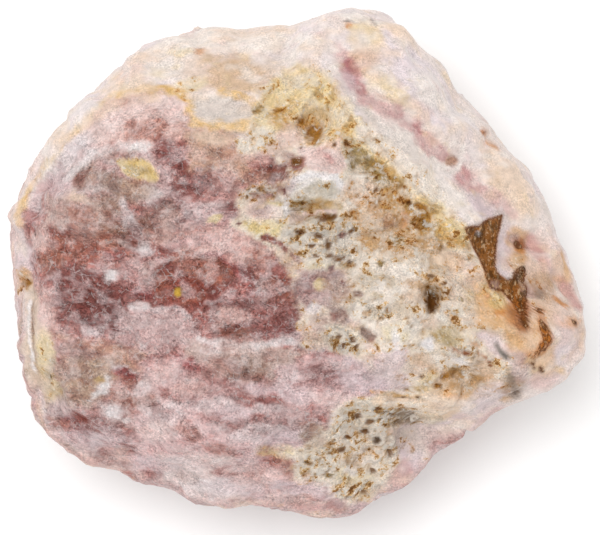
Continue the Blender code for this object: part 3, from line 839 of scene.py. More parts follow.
ROSE_STROKES: Strokes = (
    Zone(M.ROSE, 1, FACE, 1, 0.6),
    # upper left
    Zone(M.PALE_ROSE, 0.9, ((-24.6, 14.2), (-21.4, 17.6), (-15, 19), (-12.4, 16.4), (-13.4, 13.4),
        (-19, 13))),
    Zone(M.SALMON, 0.65, ((-19.4, 13.9), (-19.2, 16.2), (-16.8, 17.4), (-14.4, 16.4), (-15.2, 14.2),
        (-16, 13.8)), 0.5, 0.4),
    Patch(M.PALE_ROSE, 0.7, -22.6, 13.6, 1.8, 1.2, 40),
    Zone(M.BLUSH, 0.95, ((-25.6, 14), (-21.6, 18.4), (-15, 19.6), (-12.6, 18), (-12.2, 16), (-14.6, 16.6),
        (-16.6, 17.8), (-19.4, 16.4), (-20.6, 14.4), (-23.6, 13.2)), 0.8, 0.5),
    Vein(M.PEACH_SKIN, 0.6, 0.7, ((-24, 15.6), (-21.2, 18), (-16, 18.9)), 0.2),
    Zone(M.MILK, 0.45, ((-27.6, 9.4), (-23.4, 13.4), (-19.6, 13.2), (-15.6, 12.6), (-14, 9.8), (-13.6, 7.4),
        (-17.4, 6.8), (-20.6, 8.2), (-26.4, 7.6)), dapple=0.2),
    Patch(M.BRIGHT_MILK, 0.75, -17.6, 13.1, 1.9, 0.5, 4, 0.4),
    Vein(M.BRIGHT_MILK, 0.85, 0.8, ((-24.6, 13.4), (-26.8, 11.6), (-28.8, 9.2), (-29.8, 6.8)), 0.1),
    Patch(M.RED_ROSE, 0.8, -15.4, 13.8, 0.9, 0.6),
    Vein(M.MAUVE, 0.8, 0.9, ((-14.8, 13.2), (-13.8, 11.8), (-13, 10.8)), 0.25),
    Zone(M.TAN_ROSE, 0.9, ((-12.8, 15.4), (-5.4, 13.9), (-4, 12.2), (-6, 9.8), (-11.8, 10.6))),
    Patch(M.GREY_VEIL, 0.7, -9.4, 14.2, 3, 0.8, -8), Patch(M.GREY_BROWN, 0.5, -9, 11.8, 1.6, 1.3, 20, 0.4),
    Patch(M.MAUVE, 0.65, -10.6, 9, 2.8, 1.2, 12, 0.2), Patch(M.DARK_MAUVE, 0.7, -12.4, 8.4, 1, 0.9, 0, 0.3),
    Patch(M.BROWN_ROSE, 0.9, -1.6, 10.6, 2.3, 1.3, 8, 0.15), Patch(M.TAN_ROSE, 0.6, -5, 9.8, 2, 1, 0, 0.2),
    Patch(M.PALE_ROSE, 0.7, -8.2, 7.6, 2.6, 1, 8, 0.3),
    Patch(M.CRIMSON, 0.8, -30.3, 5.2, 0.8, 0.9, 20, 0.2),
    Vein(M.MAUVE_SKIN, 0.6, 0.5, ((-28.4, 9.2), (-29.6, 7.4), (-30.4, 5))),
    # the grey-brown below the skin's rim is partly mineral and partly painted shade of the step down from the
    # skin
    Patch(M.GREY_BROWN, 0.85, -23.6, 9.9, 3.2, 1.6, -14, 0.1),
    Patch(M.GREY_BROWN, 0.55, -19.6, 11.8, 3.6, 1.3, -10, 0.3),
    Zone(M.YELLOW_CREAM, 0.85, ((-20.4, 11.6), (-18.2, 11.8), (-15.9, 11), (-15.6, 9.6), (-16.2, 9.2),
        (-19, 9.9), (-20, 10.6)), 0.45, 0.3),
    Zone(M.YELLOW, 0.8, ((-19.8, 11.4), (-17.4, 11.6), (-16, 10.8), (-15.8, 9.6),
        (-18.4, 10.1)), 0.6, 0.5, 0.35),
    Patch(M.OLIVE, 0.5, -18.2, 10.6, 1.5, 0.35, -10, 0.4),
    Patch(M.GREY_BROWN, 0.85, -21, 7.8, 1.8, 2.4, 20, 0.1),
    Patch(M.GREY_BROWN, 0.85, -21, 5.4, 2.6, 2.4, 10, 0.15),
    Patch(M.BROWN_ROSE, 0.8, -18.6, 3.4, 2.4, 1.8, 10, 0.2),
    Patch(M.GREY_BROWN, 0.85, -18.6, 8.1, 3, 1.3, 6, 0.1),
    Zone(M.GREY_VEIL, 0.8, ((-28.6, 7.6), (-25.6, 8.8), (-22.8, 7.4), (-21.8, 4.6), (-24.4, 3.4),
        (-28.2, 4))),
    Patch(M.PEACH_SKIN, 0.5, -24.8, 7.4, 1.2, 0.7, -10),
    Patch(M.SALMON, 0.75, -24.4, 5.6, 2, 0.9, -12, 0.2),
    Vein(M.MILK, 0.9, 0.6, ((-19.6, 6.4), (-18.6, 4.2), (-17.5, 2.6), (-17, 1.4)), 0.2),
    Vein(M.BRIGHT_MILK, 0.6, 0.35, ((-20.6, 2.6), (-18.6, 1.6), (-17, 1.8)), 0.3),
    Zone(M.GREY_BROWN, 0.3, ((-17.2, 7), (-13, 6.8), (-12.4, 4), (-13.8, 2.2), (-16.6, 2.4)), dapple=0.4),
    Patch(M.GREY_BROWN, 0.6, -17, 4.2, 0.5, 1.4, -10),
    Patch(M.DEEPEST_MAUVE, 0.55, -15.2, 6.8, 1.1, 0.7, 10, wander=0.4),
    Patch(M.MAUVE, 0.7, -13.6, 7, 1.2, 0.8, 10, 0.2),
    Zone(M.MILK, 0.6, ((-12.4, 7), (-8.6, 7.2), (-8.4, 5), (-10.6, 3.6), (-13.2, 4.2)), dapple=0.35),
    Patch(M.DEEPEST_MAUVE, 0.75, -12.3, 5.4, 0.5, 0.45),
    Patch(M.YELLOW_CREAM, 0.75, -9.2, 4.9, 0.9, 0.35, 20),
    Patch(M.GREY_MAUVE, 0.85, -6.6, 6, 1.8, 1.4, 0, 0.1), Patch(M.MAUVE, 0.8, -6.4, 5.8, 1.7, 1.2, 10, 0.2),
    Patch(M.CRIMSON, 0.4, -9, 7.6, 2.4, 0.6, 6, 0.4),
    Zone(M.PALE_ROSE, 0.7, ((-13, 3.8), (-7.4, 4.4), (-3.6, 2.8), (-2.6, 0.8), (-7, 0.6),
        (-12.4, 1.4)), dapple=0.1),
    Patch(M.BLUSH, 0.6, -7.6, 1.9, 3, 0.45, 4, 0.3), Patch(M.SALMON_PINK, 0.5, -11, 2.6, 2.4, 0.7, 4),
    Patch(M.MILK, 0.8, -25, 12.4, 2.8, 1.5, 45), Patch(M.MILK, 0.5, -16.6, 7.8, 1.6, 1.2, 0, 0.2),
    Patch(M.GREY_VEIL, 0.6, -14.8, 5.4, 1.7, 1.6, 0, 0.1),
    Patch(M.PALE_ROSE, 0.45, -8, 9.6, 2.2, 1, 0, 0.2), Patch(M.MILK, 0.5, -29.4, 6.8, 0.9, 1.4, 10),
    Patch(M.PEACH_SKIN, 0.6, -9.8, 14.3, 3.2, 0.9, -6), Patch(M.LILAC, 0.6, -27, 9, 1.5, 1.6, 20),
    Patch(M.PALE_ROSE, 0.55, -4.2, 12, 1.8, 0.9, 0, 0.2), Patch(M.BROWN_ROSE, 0.6, -1, 9.4, 1.8, 1, 0, 0.2),
    # left: salmon band over the dark mauve hollow
    Zone(M.SALMON, 0.85, ((-28.8, 1), (-27.6, 3.6), (-23, 4.4), (-20.6, 2.6), (-17.6, 0.6), (-20.6, -0.6),
        (-24.6, 0.2), (-28.8, -1.2)), dapple=0.1),
    Patch(M.RED_ROSE, 0.6, -24.8, 3.2, 2.6, 0.6, -6, 0.3),
    Patch(M.SALMON, 0.9, -27.8, 0.2, 1.6, 1.4, 20, wander=0.2),
    Patch(M.CRIMSON, 0.75, -20.6, 1, 1.5, 0.8, -6, 0.2), Patch(M.PALE_ROSE, 0.8, -29.2, 2.6, 1, 1.8, -10),
    Zone(M.DARK_MAUVE, 0.72, ((-28, -0.8), (-24.6, -0.2), (-21.4, -1.4), (-19, -2.8), (-18.4, -5.2),
        (-20.4, -8.4), (-23.6, -8), (-27, -6.8), (-27.6, -3.6)), 1.6, 1, 0.1),
    Patch(M.DEEPEST_MAUVE, 0.7, -24, -3.4, 2.2, 1.2, -16, 0.3),
    Patch(M.DEEPEST_MAUVE, 0.7, -23.2, -6.6, 1.6, 0.8, 0, 0.3),
    Patch(M.DEEPEST_MAUVE, 0.7, -20.8, -6.6, 0.7, 1.9, 14, 0.2),
    Patch(M.MAUVE, 0.6, -25.6, -1.6, 2, 1, -12, 0.2),
    Zone(M.PALE_ROSE, 0.6, ((-30, -2.6), (-27.8, -2.8), (-27.2, -6.8), (-25.8, -9), (-27.4, -11.6),
        (-30.2, -11))),
    Zone(M.GREY_PINK, 0.6, ((-22.4, -0.6), (-19.6, 0.6), (-15.4, 0.4), (-13.4, -0.9), (-15.2, -2.6),
        (-19.8, -2.2)), dapple=0.5),
    Patch(M.BRIGHT_MILK, 0.85, -20.9, -1.5, 0.9, 0.6, 30),
    Patch(M.GREY_BROWN, 0.5, -16.4, -0.8, 1.5, 0.8, 0, 0.3),
    # middle: red rose with the smooth salmon crystal
    Zone(M.RED_ROSE, 0.9, ((-16.6, -0.8), (-12.4, 0.8), (-5.6, -0.2), (-6.8, -3.6), (-9, -5.4), (-13.4, -5),
        (-16.8, -4.2)), dapple=0.1),
    Zone(M.MAUVE, 0.85, ((-8.6, -2.2), (-5.4, -1), (0.2, -2), (1.4, -5.2), (0.6, -8.4), (-7.4, -8.8),
        (-10.2, -7), (-9.6, -4.6)), 1.6, dapple=0.1),
    Zone(M.SALMON, 0.95, ((-13, -0.1), (-10.8, 0.9), (-9, 0.7), (-7.2, -0.5), (-6.6, -1.6), (-8, -3.2),
        (-10.2, -2.2), (-12, -2.2)), 0.4, 0.25),
    Vein(M.LIGHT_CRIMSON, 0.6, 0.22, ((-11.4, 1), (-9.2, 0.8), (-7.2, -0.3), (-6.3, -1.6)), 0.3),
    Patch(M.SALMON, 0.6, -12.2, -3.4, 2.2, 1.2, -6, 0.2), Patch(M.SALMON, 0.5, -7.2, -3.4, 1.5, 1, 0, 0.2),
    Patch(M.PALE_ROSE, 0.5, -6.2, 0.2, 1.8, 0.5, -10, 0.2),
    Patch(M.BROWN_ROSE, 0.6, -15, -1.9, 2, 0.9, 10, 0.3),
    Patch(M.CRIMSON, 0.85, -17.3, -3.7, 1.1, 0.6, -10, 0.1), Patch(M.DARK_MAUVE, 0.7, -17.5, -4, 0.5, 0.35),
    Patch(M.CRIMSON, 0.5, -5.4, -0.6, 1.6, 0.6, -10, 0.4),
    Patch(M.DARK_MAUVE, 0.55, -2.8, -2.6, 2.4, 0.8, -18, 0.4),
    Patch(M.DARK_MAUVE, 0.6, -0.5, -6.2, 1.6, 1.7, 0, 0.2),
    Patch(M.DEEPEST_MAUVE, 0.45, -0.2, -6.4, 0.8, 1, 0, 0.3),
    Patch(M.BROWN_ROSE, 0.6, -7.4, -7.8, 2.2, 0.8, -6, 0.2), Patch(M.DARK_MAUVE, 0.6, -7.2, -7.7, 0.8, 0.5),
    Patch(M.GREY_MAUVE, 0.5, -3.6, -4.9, 2.4, 0.8, -10, 0.4),
    Patch(M.PALE_ROSE, 0.7, -7.2, -6, 2.4, 1.2, -6, 0.2),
    Patch(M.BROWN_ROSE, 0.8, -2.2, -3, 2.8, 1.4, 0, 0.2),
    Vein(M.LILAC, 0.5, 0.4, ((-7.6, -4.4), (-4.6, -3.4), (-1.4, -3.8)), 0.5),
    # lower left: grey-pink block over brown and crimson layers
    Zone(M.GREY_PINK, 0.95, ((-20.4, -6.6), (-18.6, -5.2), (-13.2, -5), (-11.4, -6.6), (-10.4, -9.6),
        (-20.8, -10.6)), 0.6, 0.5),
    Vein(M.BRIGHT_MILK, 0.7, 0.4, ((-18.6, -5), (-16.8, -5)), 0.2),
    Vein(M.MILK, 0.6, 0.25, ((-16, -5.3), (-13.6, -4.9), (-11.8, -6))),
    Patch(M.GREY_MAUVE, 0.6, -18.8, -6.9, 1.2, 1),
    Zone(M.TAN_ROSE, 0.8, ((-26.6, -8.8), (-21, -8.8), (-17, -10.2), (-17.6, -12.2), (-22.4, -12.2),
        (-26.8, -11.8)), dapple=0.1),
    Patch(M.MILK, 0.7, -23, -8, 1.2, 0.6, -10, 0.3), Patch(M.MAUVE, 0.6, -24.8, -10.2, 2.6, 1.1, -12, 0.3),
    Patch(M.MAUVE, 0.6, -18.4, -10.8, 0.9, 0.6, 0, 0.3),
    Patch(M.GREY_BROWN, 0.6, -21.4, -11.4, 1.8, 0.9, 0, 0.2),
    Patch(M.MILK, 0.7, -14.8, -12.8, 2.6, 1.2, 0, 0.1),
    Zone(M.OLIVE_ROSE, 0.85, ((-28.4, -11.4), (-21, -11.4), (-20.4, -13.2), (-22.8, -16.4),
        (-28.6, -16.6)), 1.8, dapple=0.1),
    Patch(M.GREY_BROWN, 0.6, -25.6, -12.2, 2.2, 0.7, -5, 0.3),
    Patch(M.GREY_BROWN, 0.55, -25.4, -15.3, 1.2, 0.7, 0, 0.3),
    Patch(M.YELLOW_CREAM, 0.45, -27.8, -14.6, 1.2, 1.4),
    Patch(M.CRIMSON, 0.9, -19.5, -12.5, 1.6, 0.65, -14, wander=0.35),
    Vein(M.BRIGHT_MILK, 0.5, 0.14, ((-20.9, -11.9), (-19.4, -11.8), (-18.2, -12.5))),
    Vein(M.LIGHT_CRIMSON, 0.75, 0.7, ((-16.4, -11.6), (-13.2, -11), (-10.6, -11.6)), 0.4),
    Vein(M.CRIMSON, 0.85, 0.65, ((-12.8, -11.6), (-10.6, -11.9), (-8.6, -12.4)), 0.2),
    Zone(M.GREY_BROWN, 0.6, ((-23, -16.4), (-21, -13.6), (-16, -13.4), (-15.4, -16.6), (-17.8, -19.6),
        (-21, -18.2)), 1.8, dapple=0.3),
    Zone(M.GREY_PINK, 0.8, ((-16.6, -12.6), (-8.6, -13.2), (-3, -13.4), (-3.2, -15.4), (-8, -16),
        (-16.6, -14.8)), dapple=0.1),
    Zone(M.MAUVE, 0.5, ((-13.4, -12.8), (-7.6, -12.8), (-3.6, -14.8), (-6.6, -16),
        (-12.8, -14.4)), dapple=0.55),
    Vein(M.RED_ROSE, 0.6, 0.6, ((-8.6, -13.4), (-6.6, -14.4), (-5.2, -15.8)), 0.4),
    Patch(M.MAUVE, 0.85, -3.6, -15.9, 1, 0.75, wander=0.3),
    Vein(M.RED_ROSE, 0.7, 0.42, ((-3.4, -12.4), (-1, -11.4), (1, -10.9), (3, -10.6)), 0.4),
    # middle: grey veil and the white vein
    Zone(M.GREY_VEIL, 0.85, ((-12.4, -8.9), (-8, -9.5), (-2, -9.4), (2, -10.2), (-2.6, -13.2), (-8, -12.6),
        (-12.6, -10.8))),
    Patch(M.GREY_BROWN, 0.85, -6, -12, 3.4, 1.4, -4, 0.1),
    Patch(M.BROWN_ROSE, 0.5, -7.4, -12.2, 2, 0.9, -4, 0.3),
    Patch(M.GREY_BROWN, 0.5, -5.8, -10.3, 0.7, 0.5, 0, 0.2),
    Vein(M.BRIGHT_MILK, 0.8, 0.38, ((-11, -8.6), (-9.4, -9.1), (-7.4, -9.2), (-3.8, -9.6), (-1.4, -8.8),
        (0.2, -9.3), (3.2, -10)), 0.25),
    Vein(M.MILK, 0.5, 0.35, ((-10.6, -10), (-7.4, -10.1), (-4.6, -9.9)), 0.3),
    Patch(M.MILK, 0.5, -7, -9.2, 2.6, 0.7, 0, 0.2), Patch(M.SALMON_PINK, 0.65, -15, -11.8, 2.2, 1.1),
    Patch(M.SALMON_PINK, 0.55, -10.6, -14.4, 3, 0.9),
    # right of the middle: pink under the waste
    Zone(M.SALMON_PINK, 0.9, ((-1.6, -12), (3, -10.4), (9.6, -11.2), (12, -12.6), (8.6, -14.6),
        (5.2, -16.4), (-1, -16.6)), dapple=0.1),
    Patch(M.GREY_MAUVE, 0.75, 4, -12.4, 3.2, 1, -8, 0.35),
    Patch(M.MAUVE, 0.65, 3.4, -12.9, 2.2, 1.1, -12, 0.3), Patch(M.MAUVE, 0.55, 1.2, -12.4, 1, 0.6, 0, 0.3),
    Patch(M.PALE_ROSE, 0.85, 10.2, -10.4, 2.6, 1.2, -20), Patch(M.LILAC, 0.8, 7.2, -11.4, 1.6, 0.8, -25),
    Patch(M.MILK, 0.6, -1.2, -13.6, 1.6, 0.9, 20, 0.2), Patch(M.BLUSH, 0.6, 4.4, -15.6, 3, 1, -10, 0.3),
    Patch(M.LILAC, 0.85, 8.6, -13.8, 3.6, 1.3, -12),
    # lower left corner
    Patch(M.GREY_VEIL, 0.8, -27.2, -16.8, 1.6, 1.6),
    Patch(M.RED_ROSE, 0.95, -24.4, -18.7, 2.2, 1.3, -8, wander=0.35),
    Patch(M.CRIMSON, 0.75, -26.3, -17.9, 0.8, 0.4, 10), Patch(M.BROWN_ROSE, 0.6, -23.4, -19, 1.2, 0.7, -10),
    Patch(M.SALMON, 0.6, -27, -19, 1, 1.4, -25), Patch(M.GREY_MAUVE, 0.65, -20.6, -19.4, 1.2, 1, 0, 0.3),
    Zone(M.PALE_ROSE, 0.9, ((-28.4, -19.6), (-23.4, -21.2), (-19.6, -21.2), (-17.4, -24.2), (-21, -25),
        (-28, -22))),
    Vein(M.BLUSH, 0.8, 0.7, ((-27.6, -19.6), (-25.8, -21.6), (-23.6, -23))),
    Patch(M.MAUVE, 0.65, -22.2, -22.2, 1.7, 0.8, -8, 0.35),
    Patch(M.GREY_MAUVE, 0.6, -20.6, -23.4, 1.4, 0.6, -20, 0.2),
    Patch(M.MILK, 0.7, -22.6, -20.2, 0.8, 0.7, 0, 0.3), Patch(M.MILK, 0.75, -17.4, -14.5, 1, 0.8, 30, 0.2),
    # painted highlights: these bright milk spots stand for the glints of cleavage facets
    Patch(M.BRIGHT_MILK, 0.95, -21.9, -14.4, 0.75, 0.7, 0, 0.25),
    Vein(M.BRIGHT_MILK, 0.85, 0.3, ((-21.4, -13.2), (-21.6, -14.4), (-22.8, -15.2)), 0.2),
    Patch(M.BRIGHT_MILK, 0.9, -20.5, -17.2, 0.8, 0.9, 20, 0.35),
    Patch(M.BRIGHT_MILK, 0.75, -19.2, -18, 0.5, 0.3, 0, 0.3),
    Patch(M.BRIGHT_MILK, 0.9, -23.5, -15.7, 0.35, 0.18, -20),
    Patch(M.YELLOW, 0.7, -22.3, -13.5, 0.7, 0.3, 20, 0.2),
    # lower middle
    Zone(M.MILK, 0.7, ((-15.6, -15.2), (-8, -15.6), (-4, -16.8), (-8, -17.8), (-14.6, -17.2)), dapple=0.15),
    Zone(M.SALMON_PINK, 0.95, ((-18.8, -17.4), (-10, -17.4), (-4, -20.2), (-4.6, -24), (-10.6, -22.4),
        (-18.6, -24)), dapple=0.05),
    Patch(M.SALMON, 0.6, -12.2, -19.2, 1.7, 0.9, -30, 0.3),
    Patch(M.SALMON, 0.6, -8.6, -21.6, 2.2, 0.8, -16, 0.3), Patch(M.MILK, 0.6, -15.2, -17.4, 2.6, 1.4),
    Patch(M.BLUSH, 0.6, -15.6, -19.2, 2, 1.2),
    Zone(M.GREY_MAUVE, 0.75, ((-10, -17.2), (-4, -17.4), (2, -17.4), (4.6, -19.4), (3, -20.8), (-3, -19.8),
        (-8, -19)), 1.4, dapple=0.2),
    Patch(M.MAUVE, 0.3, -1.6, -18.2, 2, 1, -10, 0.5), Patch(M.MILK, 0.6, -4.4, -19.6, 3, 1.2, -6, 0.2),
    Patch(M.MILK, 0.7, -3.2, -16.8, 2.2, 0.7, -6, 0.2),
    Patch(M.GREY_BROWN, 0.85, 2.6, -19.6, 2, 1.3, -20, 0.15),
    Patch(M.LILAC, 0.6, 0, -14.8, 2.4, 1.2, 0, 0.1),
    Zone(M.BLUSH, 0.9, ((-15.6, -22), (-11, -21.8), (-9, -24.4), (-6, -26.4), (-8.6, -29), (-15, -27.4))),
    Patch(M.BRIGHT_MILK, 0.6, -11.6, -25.6, 3, 1.2, -16, 0.2),
    Patch(M.GREY_VEIL, 0.6, -12.6, -24.2, 1.6, 1, -20),
    Patch(M.BRIGHT_MILK, 0.7, -8.4, -23, 1.9, 0.6, 14, 0.3),
    Zone(M.SALMON_PINK, 0.85, ((-7, -22.6), (-3, -22.4), (2.4, -23.4), (3, -25.2), (-2, -25.4),
        (-6.4, -24.8))),
    Patch(M.SALMON, 0.6, -4.8, -23.6, 1.9, 0.7, 0, 0.3), Patch(M.SALMON, 0.75, -1.2, -23.2, 2, 0.9, 0, 0.2),
    Patch(M.SALMON, 0.6, 0.2, -24.4, 2, 0.5, -4, 0.2),
    Zone(M.PALE_ROSE, 0.85, ((-7, -25.2), (0, -26), (8, -28), (8, -31), (-6, -31))),
    Vein(M.LILAC, 0.75, 0.6, ((-2.4, -25.6), (0.6, -25.9), (4, -26.8), (7.8, -27.8)), 0.2),
    Patch(M.MAUVE_SKIN, 0.5, 2, -28.2, 3.4, 0.5, 8, 0.3),
    # paler, redder and greyer places all over the face
    Patch(M.LILAC, 0.6, -24, -20.2, 4.4, 1.3), Patch(M.LILAC, 0.5, -27, -17, 1.6, 1),
    Patch(M.LILAC, 0.5, -7, -17.2, 2.4, 0.8), Patch(M.LILAC, 0.6, -15.6, -23, 3.4, 1),
    Patch(M.GREY_BROWN, 0.75, 2, -19.8, 2, 1.1, -20), Patch(M.MAUVE, 0.5, -7, 6.2, 1.8, 0.9, 8, 0.2),
    Patch(M.LILAC, 0.45, -5.6, -23.4, 3, 0.8), Patch(M.LILAC, 0.6, -4, -14.4, 1.6, 0.8),
    Patch(M.SALMON, 0.5, -1.4, -3.2, 2.6, 0.8, -8, 0.3),
    Patch(M.SALMON, 0.5, -12.4, -3.6, 1.8, 0.8, -6, 0.2), Patch(M.LILAC, 0.75, -1, -20.2, 2.4, 1.2),
    Patch(M.LILAC, 0.7, -6.4, -25.8, 3.8, 1.2, -8), Patch(M.BLUSH, 0.5, -10, -23, 5, 1),
    Patch(M.RED_ROSE, 0.6, -12.2, -2.6, 2.4, 1.5, -4, 0.2),
    Patch(M.RED_ROSE, 0.5, -1, -3.2, 1.7, 1.9, 0, 0.2),
    Patch(M.RED_ROSE, 0.45, -24.2, -3, 1.8, 1.8, 0, 0.3),
    Patch(M.BROWN_ROSE, 0.5, -18.2, 3.2, 2, 1.5, 0, 0.3), Patch(M.ROSE, 0.5, -12.2, 0.6, 1.8, 0.9, 0, 0.2),
    Patch(M.SALMON, 0.5, -7, -3, 1.7, 1.3, 0, 0.2), Patch(M.PALE_ROSE, 0.6, -18, 17.2, 2.2, 1.3, -10),
    Patch(M.GREY_BROWN, 0.5, 2.2, -20, 1.6, 1.2, -20), Patch(M.PALE_ROSE, 0.5, -4.6, -24.6, 3.4, 1.2),
    Vein(M.BRIGHT_MILK, 0.5, 0.5, ((-26, 9.4), (-23.4, 12.2), (-20.6, 13.2), (-17.4, 13.1)), 0.3),
    Vein(M.BRIGHT_MILK, 0.3, 0.4, ((-22.4, 8.6), (-19.6, 8.9), (-17.2, 8), (-15.4, 8)), 0.3),
    Vein(M.MILK, 0.45, 0.5, ((-14.6, 8.4), (-13, 7), (-12.2, 5.6)), 0.3),
    Patch(M.ROSE, 0.4, -4, -6.2, 1.8, 1.2, 0, 0.2), Patch(M.SALMON, 0.45, -15, -3, 1.4, 1.2, 0, 0.2),
    Patch(M.ROSE, 0.4, -9, -12, 1.8, 1.2, 0, 0.2), Patch(M.PALE_ROSE, 0.5, -12, -14.4, 2, 1.2, 0, 0.1),
    Patch(M.MILK, 0.5, -21, -17.2, 2.2, 1.4, 0, 0.1), Patch(M.GREY_BROWN, 0.7, -18.4, 8.4, 2.4, 1, 0, 0.2),
    Patch(M.GREY_VEIL, 0.4, -24, 3.2, 1.6, 1.2), Patch(M.ROSE, 0.4, -12, 0.4, 1.5, 0.9, 0, 0.2),
    Patch(M.MAUVE, 0.45, -7.2, 6, 1.7, 1, 0, 0.2), Patch(M.PALE_ROSE, 0.4, -9.2, -12.2, 1.8, 1.2),
    Patch(M.PALE_ROSE, 0.4, -15, -12, 1.8, 1.2), Patch(M.ROSE, 0.5, -1.2, -6, 1.6, 1.3, 0, 0.2),
    Patch(M.GREY_VEIL, 0.45, -15, 3.2, 1.6, 1.2), Patch(M.ROSE, 0.45, -7, -3, 1.5, 1.2, 0, 0.2),
    # the yellow speck
    Patch(M.CLEAR_YELLOW, 1, -13.3, -3.4, 0.44, 0.54, soft=0.3, wander=0),
)

